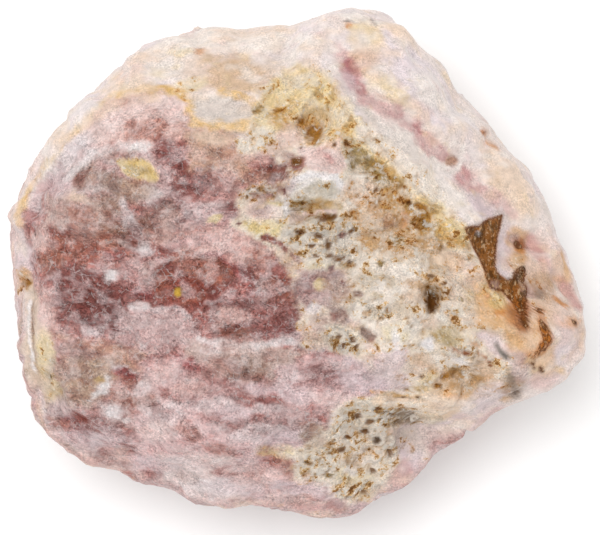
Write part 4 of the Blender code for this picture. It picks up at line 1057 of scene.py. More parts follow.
WASTE_STROKES: Strokes = (
    Zone(M.CREAM, 1, WASTE, 1, 0.8), Zone(M.CREAM, 0.95, LOWER_WASTE, 1.2, 0.9),
    Zone(M.LACE, 0.9, ((4.4, -17), (8.4, -15.8), (11.4, -16.2), (11.2, -19), (12, -22), (10, -22.6),
        (9.2, -20.6), (6, -21), (4.4, -19.6)), 1),
    Patch(M.LACE, 0.6, 4.6, -22.4, 2.4, 1.8, 0, 0.4), Patch(M.LACE, 0.8, 7.6, -26.2, 2.8, 0.9, 10),
    # ochre crown
    Zone(M.PALE_OCHRE, 0.85, ((-4.8, 15.6), (-4.6, 18.6), (-2.6, 20.6), (0.4, 22.6), (2.4, 22.2),
        (4.4, 20.2), (5.8, 17.2), (6.6, 14.6), (4.6, 15), (3.4, 16.6), (0.4, 16.4), (-0.6, 15),
        (-3, 14.6)), 1.4),
    Patch(M.OCHRE, 0.75, -1.7, 16.4, 1.3, 1.5, 0, 0.3), Patch(M.OCHRE, 0.3, 0.4, 17.8, 1.6, 1.2, 20, 0.4),
    Patch(M.OCHRE, 0.55, 3.6, 17.2, 1.6, 1, -30, 0.3),
    Patch(M.CREAM_WHITE, 0.6, 0.6, 20.6, 2.6, 0.9, -10, 0.4), Patch(M.OLIVE, 0.5, -4.2, 17.4, 0.7, 0.6),
    Vein(M.DARK_OCHRE, 0.8, 0.2, ((-2.4, 17.2), (-1.9, 17.5), (-1.2, 17.2)), 0.2),
    Zone(M.OCHRE, 0.9, ((0.2, 17), (0.2, 15.6), (0.8, 14.8), (1, 13.8), (2.4, 13.2), (3.4, 14.2),
        (3.4, 15.6), (2.4, 16.4)), 0.6, 0.3),
    Zone(M.DARK_OCHRE, 0.85, ((0.4, 16.7), (0.4, 15.9), (1, 15.3), (1.2, 14.2), (2.4, 13.5), (3.1, 14.3),
        (3.1, 15.2), (1.6, 16.1), (0.9, 16.8)), 0.5, 0.4, 0.3),
    Patch(M.CREAM_WHITE, 0.5, 1.8, 18.2, 1.6, 0.5, -15, 0.4),
    # the first pale ochre patch is painted light on the ochre hollow's north wall, which its relief leaves in
    # shade
    Patch(M.PALE_OCHRE, 0.65, 2.4, 18.9, 1.8, 1.3), Patch(M.OCHRE, 0.5, 4.6, 15.6, 1.6, 1, -30, 0.3),
    # ochre crest
    Vein(M.PALE_OCHRE, 0.9, 1.4, ((5.2, 16.6), (6.6, 14.2), (9, 11.9), (11.8, 9.2), (14.8, 6.5),
        (18.2, 3.2)), wander=0.4),
    Vein(M.OCHRE, 0.75, 0.9, ((9, 11.2), (10.8, 9.4), (12.8, 7), (15.2, 4.7), (17.4, 2.8)), 0.2),
    Vein(M.SMOOTH_CREAM, 0.85, 1, ((8, 14.7), (11.8, 11.6), (14.8, 8.9), (17.6, 6.2)), wander=0.4),
    Patch(M.PALE_OCHRE, 0.8, 5, 14.6, 1.8, 0.9, -30, 0.2),
    Patch(M.OCHRE, 0.6, 5.4, 14.4, 1.4, 0.7, -30, 0.3),
    Vein(M.DARK_OCHRE, 0.55, 0.45, ((12.6, 6.9), (13.8, 6.4), (15.2, 5.4)), 0.3),
    Vein(M.DARK_OCHRE, 0.8, 0.25, ((10.2, 9.7), (11.4, 9.4), (12.4, 8.4)), 0.2),
    Patch(M.ORANGE, 0.4, 17.9, 2.9, 1.4, 0.5, -40), Patch(M.CREAM_WHITE, 0.7, 14.2, 9.1, 1.3, 0.8, -42),
    Patch(M.PALE_OCHRE, 0.6, 16.4, 6.2, 1.1, 0.8, -40),
    # white and pink granules below the crown
    Patch(M.CREAM_WHITE, 0.9, -6, 13.3, 1, 0.8, -30),
    Patch(M.CREAM_WHITE, 0.85, -4.2, 13.6, 1.5, 0.9, 30, 0.2),
    Patch(M.CREAM_WHITE, 0.75, -4, 14.9, 1.2, 0.5, 20, 0.3), Patch(M.BLUSH, 0.75, -0.6, 14.2, 1.5, 1.3),
    Patch(M.GREY_VEIL, 0.8, -1.6, 12.6, 1.6, 0.8, -20),
    Zone(M.BLUSH, 0.95, ((0.4, 13.2), (2.4, 13.2), (5, 14.2), (5.6, 12.4), (5.8, 10.6), (4.8, 9.8),
        (1.4, 10.6), (0.9, 11.8), (0.2, 12.8)), 0.6, 0.3),
    Patch(M.PALE_ROSE, 0.6, 3.4, 11.9, 1.6, 0.8, -25), Patch(M.LIGHT_CRIMSON, 0.4, 3.8, 12, 0.8, 0.4, -25),
    Patch(M.RED_ROSE, 0.9, 0.2, 11.3, 1, 0.8), Patch(M.PORE, 0.8, -0.1, 11.6, 0.5, 0.45),
    # olive grit
    Zone(M.OLIVE, 0.85, ((5.4, 13.6), (6.2, 13.8), (7, 12.9), (8.4, 12.6), (10, 11.6), (10.4, 10),
        (9.6, 8.8), (7.8, 9.9), (5.8, 10.6)), 0.8, 0.6, 0.15),
    Patch(M.SOOT, 0.35, 8, 11.6, 1.2, 0.8, 0, 0.7), Patch(M.DARK_OCHRE, 0.85, 5.9, 13.4, 0.5, 0.4),
    Patch(M.OLIVE, 0.7, 10.6, 8.3, 1.8, 1.4, -40, 0.3), Patch(M.OLIVE, 0.7, 12.2, 8.4, 0.8, 0.5, -30),
    # white knob and the ochre under it
    Patch(M.KHAKI, 0.9, 2.6, 6.4, 3, 1.1, 4),
    Zone(M.KNOB_WHITE, 0.95, ((-1.2, 4.8), (-1.3, 7.4), (-0.3, 9.4), (1.4, 10.5), (3.8, 10.6), (5.6, 9.6),
        (5.8, 8), (5, 7.2), (2.4, 7.3), (0.6, 7.1), (0, 5.8)), 0.5, 0.25),
    Patch(M.KNOB_GREY, 0.9, 3, 8.2, 2.3, 1.1, 8),
    # the bright crescent round the knob's upper-left rim is white mineral and painted highlight where the
    # light from the upper left catches the knob
    Vein(M.BRIGHT_MILK, 0.95, 0.42, ((-0.9, 5.8), (-1, 7.8), (0.2, 9.4), (2.2, 10.1), (4.6, 9.8),
        (5.6, 8.6)), wander=0.3),
    Patch(M.BRIGHT_MILK, 0.6, 1.4, 8.8, 1.3, 0.35, 24), Patch(M.OLIVE, 0.8, 0.3, 6.7, 1.2, 0.6, 10),
    Patch(M.OCHRE, 0.6, 3.4, 6.4, 1.8, 0.7, 8, 0.2),
    Vein(M.BLUSH, 0.85, 0.18, ((1, 5.6), (2.6, 5.6), (4.4, 5.9))),
    Patch(M.GREY_VEIL, 0.8, 0.2, 5.2, 0.9, 0.9),
    # mottled slope between the knob and the crest
    Zone(M.BEIGE, 0.9, ((6, 7.6), (9, 8.8), (12.6, 7.8), (15.2, 5.2), (17.6, 1.4), (13, 0.6), (7.6, 1),
        (5.6, 4.2)), 1.6, dapple=0.05),
    Patch(M.PINK_BEIGE, 0.75, 7.6, 8, 2.2, 1.8, 0, 0.2),
    Patch(M.PINK_BEIGE, 0.55, 9.2, 6, 1.2, 1.6, 0, 0.3),
    Patch(M.CREAM_WHITE, 0.75, 7.6, 9.7, 1.5, 0.4, -5, 0.2),
    Patch(M.CREAM_WHITE, 0.7, 6.2, 6.5, 0.8, 0.5, -20, 0.2),
    Patch(M.BROWN_ROSE, 0.6, 11.2, 4.6, 1.3, 0.9, 0, 0.3),
    Patch(M.LIGHT_CRIMSON, 0.55, 12.6, 5, 0.5, 1.1, 0, 0.3),
    Patch(M.OCHRE, 0.55, 13.4, 3.6, 1.8, 0.9, -30, 0.4), Patch(M.OLIVE, 0.75, 11.7, 2.4, 0.9, 0.6, 0, 0.1),
    Patch(M.SOOT, 0.35, 15.4, 4.5, 0.9, 0.35, -20, 0.2), Patch(M.OLIVE, 0.5, 15.6, 3.6, 1.4, 0.7, -25, 0.2),
    Patch(M.CREAM_WHITE, 0.8, 14.2, 0.6, 0.8, 0.3, 20, 0.2),
    # grit, cap and yellow bed left of the knob
    Patch(M.ROSY_LACE, 0.9, -3.6, 7.9, 2.7, 1.1, 0, 0.1),
    Vein(M.BROWN_ROSE, 0.75, 0.28, ((-4.8, 7.8), (-3.8, 7.6), (-2.6, 7.7))),
    Zone(M.YELLOW_CREAM, 0.9, ((-6.4, 4.6), (-4.6, 5.2), (-1, 4.6), (-1.2, 3.2), (-3.4, 3),
        (-5.2, 3.6)), 0.6, 0.5, 0.1),
    Patch(M.YELLOW, 0.45, -4.6, 4.2, 1.6, 0.5, -4, 0.4),
    Zone(M.LILAC, 0.5, ((-5.2, 4.9), (-4.4, 6.2), (-2.8, 6.7), (-1.4, 6.4), (-1.5, 5.2),
        (-3.4, 5)), 0.5, 0.3),
    Vein(M.YELLOW_CREAM, 0.85, 0.22, ((-4.4, 6.2), (-3, 6.8), (-1.4, 6.6))),
    # lace
    Zone(M.LACE, 0.95, ((-1.6, 3.4), (-0.4, 4.2), (1.4, 4.4), (5.2, 5.4), (7.2, 4.4), (7, 1.4), (6.6, -0.2),
        (4.6, -1), (2.6, -0.2), (0.4, 0.4), (-0.6, 2)), 0.8),
    Patch(M.OLIVE, 0.7, 3.2, 4.9, 1.8, 0.6, 4, 0.2), Patch(M.PORE, 0.85, 3.5, 5.1, 1.2, 0.4, 5, 0.2),
    Vein(M.PORE, 0.8, 0.24, ((2, 3.3), (2.6, 3), (3.4, 2.6), (3.9, 1.8), (3.9, 0.9), (4.4, 0.4), (5.4, 0.6),
        (6.3, 0.1)), 0.35),
    Vein(M.PORE, 0.8, 0.22, ((1.5, 2), (2.2, 1.8), (2.2, 1), (2.6, 0.6)), 0.3),
    Patch(M.PORE, 0.8, 0.7, 3.4, 0.5, 0.25), Patch(M.BROWN_ROSE, 0.85, 5.4, 3.2, 0.5, 0.3),
    Patch(M.PORE, 0.8, 6.3, 3.6, 0.5, 0.3, 30, 0.1), Patch(M.CREAM_WHITE, 0.9, 6.2, 2.4, 0.9, 0.7, 40),
    Patch(M.CREAM_WHITE, 0.7, 1.4, 2.6, 0.9, 0.5, 0, 0.3),
    Vein(M.RED_ROSE, 0.9, 0.32, ((-3.4, 2.9), (-2.2, 2.3), (-0.9, 1.5))),
    Vein(M.BROWN_ROSE, 0.85, 0.3, ((-0.2, 0.9), (0.4, 0.2), (0.6, 0.1))),
    Zone(M.YELLOW_CREAM, 0.7, ((0.6, 0), (2.4, 0.2), (4, -0.4), (3.8, -1.2), (1.6, -1)), 0.6, 0.3),
    # mauve-grey hollow below the lace
    Zone(M.GREY_MAUVE, 0.9, ((0.4, -1), (3.6, -1), (5.6, -0.6), (6, -3.4), (7.4, -7), (6, -7.6),
        (3.8, -7.2), (1.2, -6.4), (0.2, -3.4)), 1.2),
    Patch(M.MAUVE, 0.6, 1.6, -2.6, 1.8, 1.8, -30, 0.3), Patch(M.MAUVE, 0.5, 4.6, -3, 1.4, 2.4, 0, 0.3),
    Patch(M.GREY_BROWN, 0.8, 5.4, -5.4, 2, 2, -30, 0.15),
    Patch(M.YELLOW_CREAM, 0.8, 3, -2.5, 0.8, 0.7, 0, 0.2),
    Zone(M.CREAM, 0.85, ((1.2, -5.6), (2.4, -4.6), (3.6, -5), (3.8, -7.2), (4.4, -8.6), (1.6, -9.4),
        (0.6, -7.4)), 0.8),
    Patch(M.BRIGHT_MILK, 0.85, 2.4, -5.2, 1, 0.6, 30), Patch(M.GREY_VEIL, 0.6, 2.6, -6.8, 1.4, 1),
    Patch(M.GREY_CREAM, 0.7, 2.6, -9, 1.6, 0.9), Patch(M.DARK_MAUVE, 0.9, 5.4, -2.3, 0.3, 0.5, 10),
    # cream mass
    Patch(M.GREY_CREAM, 0.7, 5.6, -3.2, 1.6, 1.8, 10),
    Zone(M.SMOOTH_CREAM, 0.95, ((6.2, -1.8), (7.4, -0.2), (9.6, -0.6), (13, 0.2), (15, -1.2), (14.8, -5.6),
        (13.4, -9), (9.4, -10.4), (7.6, -7.4), (6.2, -4.4)), 0.9),
    Patch(M.CREAM_WHITE, 0.8, 13.2, -0.8, 1.1, 0.5, -10),
    Patch(M.CREAM_WHITE, 0.85, 7.4, -5.4, 1.4, 1.2, 10), Patch(M.CREAM_WHITE, 0.7, 11.6, -3.4, 0.5, 2, 8),
    Patch(M.KHAKI, 0.7, 9.4, -3.9, 1, 0.25, -8), Patch(M.GREY_CREAM, 0.7, 12.8, -5.2, 1.6, 1.2),
    Patch(M.GREY_CREAM, 0.8, 9.4, -2, 2.6, 1.2, -10),
    Patch(M.KNOB_WHITE, 0.95, 9.4, -2.7, 1, 0.6, 20, soft=0.4, wander=0.2),
    Patch(M.OCHRE, 0.6, 9.8, 0.1, 0.5, 0.6, 0, 0.3), Patch(M.GREY_BROWN, 0.85, 7.2, -3.6, 0.7, 0.45),
    Patch(M.LACE, 0.8, 9.6, -5.6, 1.8, 0.9, 0, 0.1), Patch(M.YELLOW_CREAM, 0.55, 11.4, -8, 1.8, 1, 10),
    # round the deep hole
    Patch(M.CREAM_WHITE, 0.6, 8.6, 0.4, 2.6, 1, 0, 0.2),
    Patch(M.CREAM_WHITE, 0.6, 2, 0.3, 1.4, 0.7, 0, 0.2),
    Patch(M.CREAM_WHITE, 0.45, 10.8, 3.2, 1.6, 1, 0, 0.4),
    Zone(M.OCHRE, 0.4, ((14.8, -0.6), (17, -1.2), (17.4, -2.6), (15.6, -3.4), (14.8, -2.6)), 0.8, 0.6, 0.4),
    Patch(M.CLAY, 0.6, 16.9, -3.3, 1, 0.8), Patch(M.OCHRE, 0.3, 15.6, -3.4, 1.4, 2, 0, 0.4),
    Patch(M.GOLD_BROWN, 0.6, 15.5, -4.2, 0.8, 1.5),
    Zone(M.DEEP_PORE, 1, ((15, -2.5), (15.4, -3.8), (16.1, -4), (16.2, -4.8), (16, -5.7), (15.3, -5.8),
        (15.2, -5), (14.9, -4.4)), 0.35, 0.15),
    # painted light: these two cream-white patches lighten the slopes of the waste's knob that face away from
    # the light
    Patch(M.CREAM_WHITE, 0.7, 16.8, -6.4, 1.7, 1), Patch(M.CREAM_WHITE, 0.55, 16.4, 0.4, 1.5, 0.8, 0, 0.2),
    # east: peach and pink
    Zone(M.PINK_BEIGE, 0.5, ((17, 0.8), (19.6, 1.6), (21.6, -2.2), (21, -7.6), (17.4, -6.6),
        (16.8, -3)), 1.6, dapple=0.1),
    Patch(M.PALE_OCHRE, 0.65, 21.6, -3.2, 1.8, 2.6, 24, 0.3),
    Patch(M.PEACH_SKIN, 0.75, 17.6, 0.2, 1.8, 1, -20), Patch(M.CREAM_WHITE, 0.7, 17.4, -5.9, 1.8, 1.2, 10),
    Patch(M.OCHRE, 0.5, 22.2, -3.2, 1.3, 1.8, 24, 0.4),
    Patch(M.YELLOW_CREAM, 0.6, 23.2, -4.6, 1.1, 0.9, -30), Patch(M.BLUSH, 0.5, 20.4, -1.6, 1, 1.8, 20),
    Patch(M.PINK_BEIGE, 0.6, 15.2, -6.9, 1.8, 0.8),
    # south of the cream mass
    Patch(M.KHAKI, 0.9, 17.2, -8.3, 2.1, 1.2, -18), Patch(M.OLIVE, 0.4, 16.6, -8.6, 1.2, 0.5, -18, 0.3),
    Patch(M.BRIGHT_MILK, 0.95, 15.2, -9.3, 0.8, 0.7), Patch(M.BRIGHT_MILK, 0.85, 11.5, -9, 0.5, 1.7),
    Patch(M.CREAM_WHITE, 0.7, 12.6, -7.4, 2, 0.7, 10),
    Zone(M.LILAC, 0.8, ((8.6, -10.8), (12.6, -9.8), (13.4, -12.6), (12.2, -14.6), (8.8, -14.4)), 1),
    Zone(M.SMOOTH_CREAM, 0.9, ((13.2, -9.6), (16.2, -10.4), (19.4, -11.4), (17.6, -13), (14.4, -14),
        (12.2, -12.4)), 1),
    Patch(M.TAN_SKIN, 0.75, 14.6, -11.4, 1.8, 0.9, -25),
    Patch(M.BRIGHT_MILK, 0.75, 18.8, -11.2, 1.2, 0.35, -14),
    Patch(M.LACE, 0.8, 19, -10.2, 1.8, 0.6, -8, 0.1),
    Vein(M.RUST_SPOT, 0.75, 0.25, ((17.4, -9.7), (18.6, -10.2), (19.8, -10.4)), 0.45),
    Vein(M.RUST_SPOT, 0.8, 0.22, ((20.8, -10.2), (21.8, -10.8), (22.4, -12)), 0.35),
    Patch(M.ORANGE, 0.6, 20.6, -9.4, 0.8, 0.3, -10, 0.2),
    Zone(M.LILAC, 0.8, ((20.6, -8), (23.6, -8.2), (25, -9.8), (24.6, -11.6), (22.8, -10.6)), 1),
    Patch(M.CLAY, 0.6, 19.6, -12.8, 1.9, 0.9, -15, 0.1), Patch(M.CLAY, 0.5, 21.2, -11.4, 0.9, 0.7, -40),
    Patch(M.OLIVE, 0.4, 18, -12.2, 0.8, 0.4, 10), Patch(M.YELLOW_CREAM, 0.6, 23, -12, 0.9, 0.7, 0, 0.2),
    Zone(M.BEIGE, 0.85, ((14.6, -12.6), (17.6, -12.2), (20.6, -12), (23.6, -11.8), (22.6, -14.2),
        (18.6, -14.6), (14.6, -14.6)), 1.2, dapple=0.2),
    Patch(M.PALE_OCHRE, 0.6, 15.4, -13.6, 1.6, 0.9, 30),
    Vein(M.DARK_OCHRE, 0.95, 0.34, ((17.4, -12.8), (16.7, -13.3), (16.1, -14), (16.6, -14.4))),
    Patch(M.PEACH_SKIN, 0.7, 16.8, -15.6, 2.8, 0.9, -8), Patch(M.APRICOT, 0.55, 18.2, -14.9, 2.2, 1, -5),
    Patch(M.ORANGE, 0.3, 18.2, -15.4, 1.1, 0.35, -5),
    Zone(M.LILAC_SKIN, 0.7, ((20.4, -14.2), (24, -13.4), (25.4, -16.6), (20.6, -18.6)), 1.2),
    Vein(M.PEACH_SKIN, 0.9, 0.8, ((9.8, -15.6), (14, -16.1), (17.4, -17.2), (19.4, -18.2))),
    Vein(M.CREAM_WHITE, 0.6, 0.35, ((10.4, -15.9), (14, -16.3), (16.8, -17.2)), 0.2),
    Vein(M.OCHRE, 0.7, 0.2, ((8.6, -14.7), (11.8, -15.1), (14.4, -15.3)), 0.5),
    # clay hollow and lavender side
    Zone(M.CLAY, 0.95, ((10.4, -17.6), (11.4, -16.6), (13.2, -16.6), (14.8, -17.8), (13.6, -18.7),
        (11.2, -18.8)), 0.6, 0.3),
    Patch(M.GREY_CREAM, 0.7, 16, -18, 1.6, 0.5, -20),
    Zone(M.LILAC_SKIN, 0.95, ((10.8, -19.4), (14, -18.8), (19.6, -17.8), (23.4, -17), (17, -23.4),
        (13.4, -26), (11.8, -23)), 1.2),
    Patch(M.GREY_VEIL, 0.7, 15.4, -20.2, 3.4, 1.5, -10), Patch(M.CLAY, 0.3, 12.6, -20.2, 1.6, 1.4, 0, 0.2),
    Patch(M.PEACH_SKIN, 0.6, 18.6, -18.9, 2.2, 0.7, 20),
    Patch(M.MAUVE_SKIN, 0.65, 12.2, -24.4, 1.9, 1.2, 40),
    # pits left of the cream mass's foot, and the lower pores
    Zone(M.LACE, 0.9, ((3.4, -7.4), (5.2, -6.6), (7, -8.6), (7.4, -10.4), (5, -10.2), (3.4, -9.4)), 0.8),
    Patch(M.GREY_BROWN, 0.8, 8.2, -8.3, 1.1, 0.6, -40), Patch(M.BLUSH, 0.7, 8.6, -9.8, 1.2, 0.4, -30),
    Patch(M.CREAM_WHITE, 0.65, 8.4, -22.2, 2.4, 1.6, 0, 0.2),
    Patch(M.YELLOW_CREAM, 0.5, 7, -24.4, 2.2, 1, 0, 0.3), Patch(M.OCHRE, 0.6, 8, -26.3, 2.2, 0.5, 10, 0.3),
    Patch(M.BRIGHT_MILK, 0.8, 6.6, -23.8, 0.9, 0.6, 0, 0.2),
    Patch(M.OLIVE, 0.55, 8.6, -19.6, 1.8, 0.8, -10, 0.4),
    Patch(M.YELLOW_CREAM, 0.6, -1.8, -21.6, 2.2, 0.8, -4, 0.45), Patch(M.PINK_BEIGE, 0.35, 8, -20.8, 3, 3),
    Patch(M.CREAM_WHITE, 0.4, 6.6, -26.4, 3, 0.8, 8, 0.3), Patch(M.LACE, 0.7, 1.6, -23.4, 2, 1.4, -10, 0.3),
    # lighter places, partly painted light over shaded slopes
    # the cream patch and the pale ochre patches in these two lines are partly painted light over the shade of
    # the crest's south-east slope
    Patch(M.CREAM, 0.8, 14.6, 9.4, 1.8, 1.3, -40), Patch(M.PALE_OCHRE, 0.45, 14.8, 6.6, 2.6, 0.9, -42, 0.2),
    Patch(M.PALE_OCHRE, 0.5, 17.4, 3.6, 2, 1.2, -35, 0.2),
    # the pale ochre and cream patches in these two lines are painted light over the shade round the ochre
    # hollow
    Patch(M.PALE_OCHRE, 0.6, 1.6, 17.6, 1.8, 0.8, 0, 0.1), Patch(M.CREAM, 0.6, 5, 17.2, 1.4, 1.6, -30),
    Patch(M.PALE_OCHRE, 0.5, 3.4, 19.4, 2.4, 1.4, -20),
    # darker and warmer places
    Patch(M.OCHRE, 0.55, 11.4, 7, 2.4, 1.8, -40, 0.4), Patch(M.OCHRE, 0.4, 16.8, 3.4, 2.4, 0.9, -38, 0.4),
    Patch(M.OCHRE, 0.35, 14.2, 5.6, 1.6, 0.9, -38, 0.4), Patch(M.GREY_CREAM, 0.5, 7, -3.2, 2.6, 1.6),
    Patch(M.PINK_BEIGE, 0.45, 13.6, -3.2, 1.2, 1.6), Patch(M.GREY_MAUVE, 0.45, -4.2, 6.2, 1.6, 1),
    Patch(M.GREY_BROWN, 0.4, -0.6, 0.6, 1.4, 1, -20), Patch(M.GREY_BROWN, 0.4, 2, -8.8, 1.5, 1.1),
    Patch(M.BROWN_ROSE, 0.4, -0.6, 11.8, 1.2, 0.8, 0, 0.3),
    Patch(M.BROWN_ROSE, 0.35, -1, 9.2, 1.3, 1, 0, 0.3), Patch(M.TAN_SKIN, 0.5, 22.2, -12.2, 1.4, 0.9, -20),
    Patch(M.SMOOTH_CREAM, 0.6, 14.8, 9.6, 1.6, 1.1, -40), Patch(M.GREY_MAUVE, 0.4, -4, 6, 1.6, 1.2),
    Patch(M.PINK_BEIGE, 0.4, 14, -12.2, 1.6, 1), Patch(M.TAN_SKIN, 0.4, 25, -13.6, 1.2, 1),
    Patch(M.GREY_MAUVE, 0.4, 4.8, -3, 1.6, 1.6), Patch(M.CREAM, 0.4, 2.2, 17.4, 1.4, 1, 0, 0.1),
    Patch(M.LILAC_SKIN, 0.6, 5.6, 20.2, 1.3, 1.5, -30), Patch(M.BEIGE, 0.35, 16.6, -14.4, 2.2, 0.9, 0, 0.2),
    Patch(M.BEIGE, 0.35, 19.4, -13.8, 1.8, 0.9, 0, 0.2), Patch(M.TAN_SKIN, 0.35, 16.4, -17, 1.8, 0.9),
    Patch(M.CLAY, 0.25, 11.6, -20, 1.4, 1.2), Patch(M.GREY_MAUVE, 0.5, 8.4, -12.2, 1.6, 1.4),
    Patch(M.MAUVE, 0.35, 5, -28.4, 1.8, 0.9), Patch(M.GREY_BROWN, 0.4, 4.8, -3, 1.5, 1.5, 0, 0.2),
    Patch(M.BEIGE, 0.35, 13.8, -3, 1.1, 1.4), Patch(M.GREY_BROWN, 0.55, 2, -20.2, 1.5, 1.2, -20, 0.1),
    Patch(M.BROWN_ROSE, 0.3, -1, 9.2, 1.3, 1, 0, 0.3),
    Patch(M.BROWN_ROSE, 0.4, -0.8, -3.2, 1.2, 1.8, 0, 0.2),
)

STRIP_STROKES: Strokes = (
    # the pale strip down the west side
    Zone(M.LILAC_SKIN, 0.85, ((-34, 4.6), (-31.4, 4), (-29.9, 1.2), (-29.8, -2), (-34, -1)), 0.8, 0.4),
    Zone(M.STRIP_CREAM, 0.9, ((-34, -1), (-30, -2.4), (-29.2, -6), (-27.6, -8.4), (-27.4, -12.6),
        (-28.4, -15.4), (-29, -19.2), (-34, -18)), 0.8, 0.4),
    Patch(M.YELLOW_CREAM, 0.55, -28.7, -10.4, 1.1, 2.4), Patch(M.BLUSH, 0.7, -28.6, -6.2, 1, 1.8, 10),
    Vein(M.BRIGHT_MILK, 0.8, 0.22, ((-30.4, -4.6), (-30.3, -9), (-30, -12.4))),
    Vein(M.GREY_BROWN, 0.5, 0.14, ((-30, -5), (-29.9, -9), (-29.5, -12.4))),
    Patch(M.OCHRE, 0.85, -31, -1.8, 0.95, 1.3, 8, 0.15), Patch(M.DARK_OCHRE, 0.8, -30.6, -2.5, 0.5, 0.5),
    Patch(M.PORE, 0.8, -31.7, -6.2, 0.22, 0.5, 20), Patch(M.OLIVE, 0.8, -27.6, -11.3, 0.45, 0.35),
    Patch(M.PORE, 0.8, -31, -12.3, 0.4, 0.35, 0, 0.2), Patch(M.OLIVE, 0.7, -27.8, -12.8, 0.45, 0.3),
    Vein(M.MILK, 0.85, 0.24, ((-29.2, -15), (-28.7, -17), (-28.4, -19))),
    Vein(M.DARK_OCHRE, 0.7, 0.16, ((-29.9, -15.6), (-29.4, -17.2), (-28.9, -18.8)), 0.2),
)

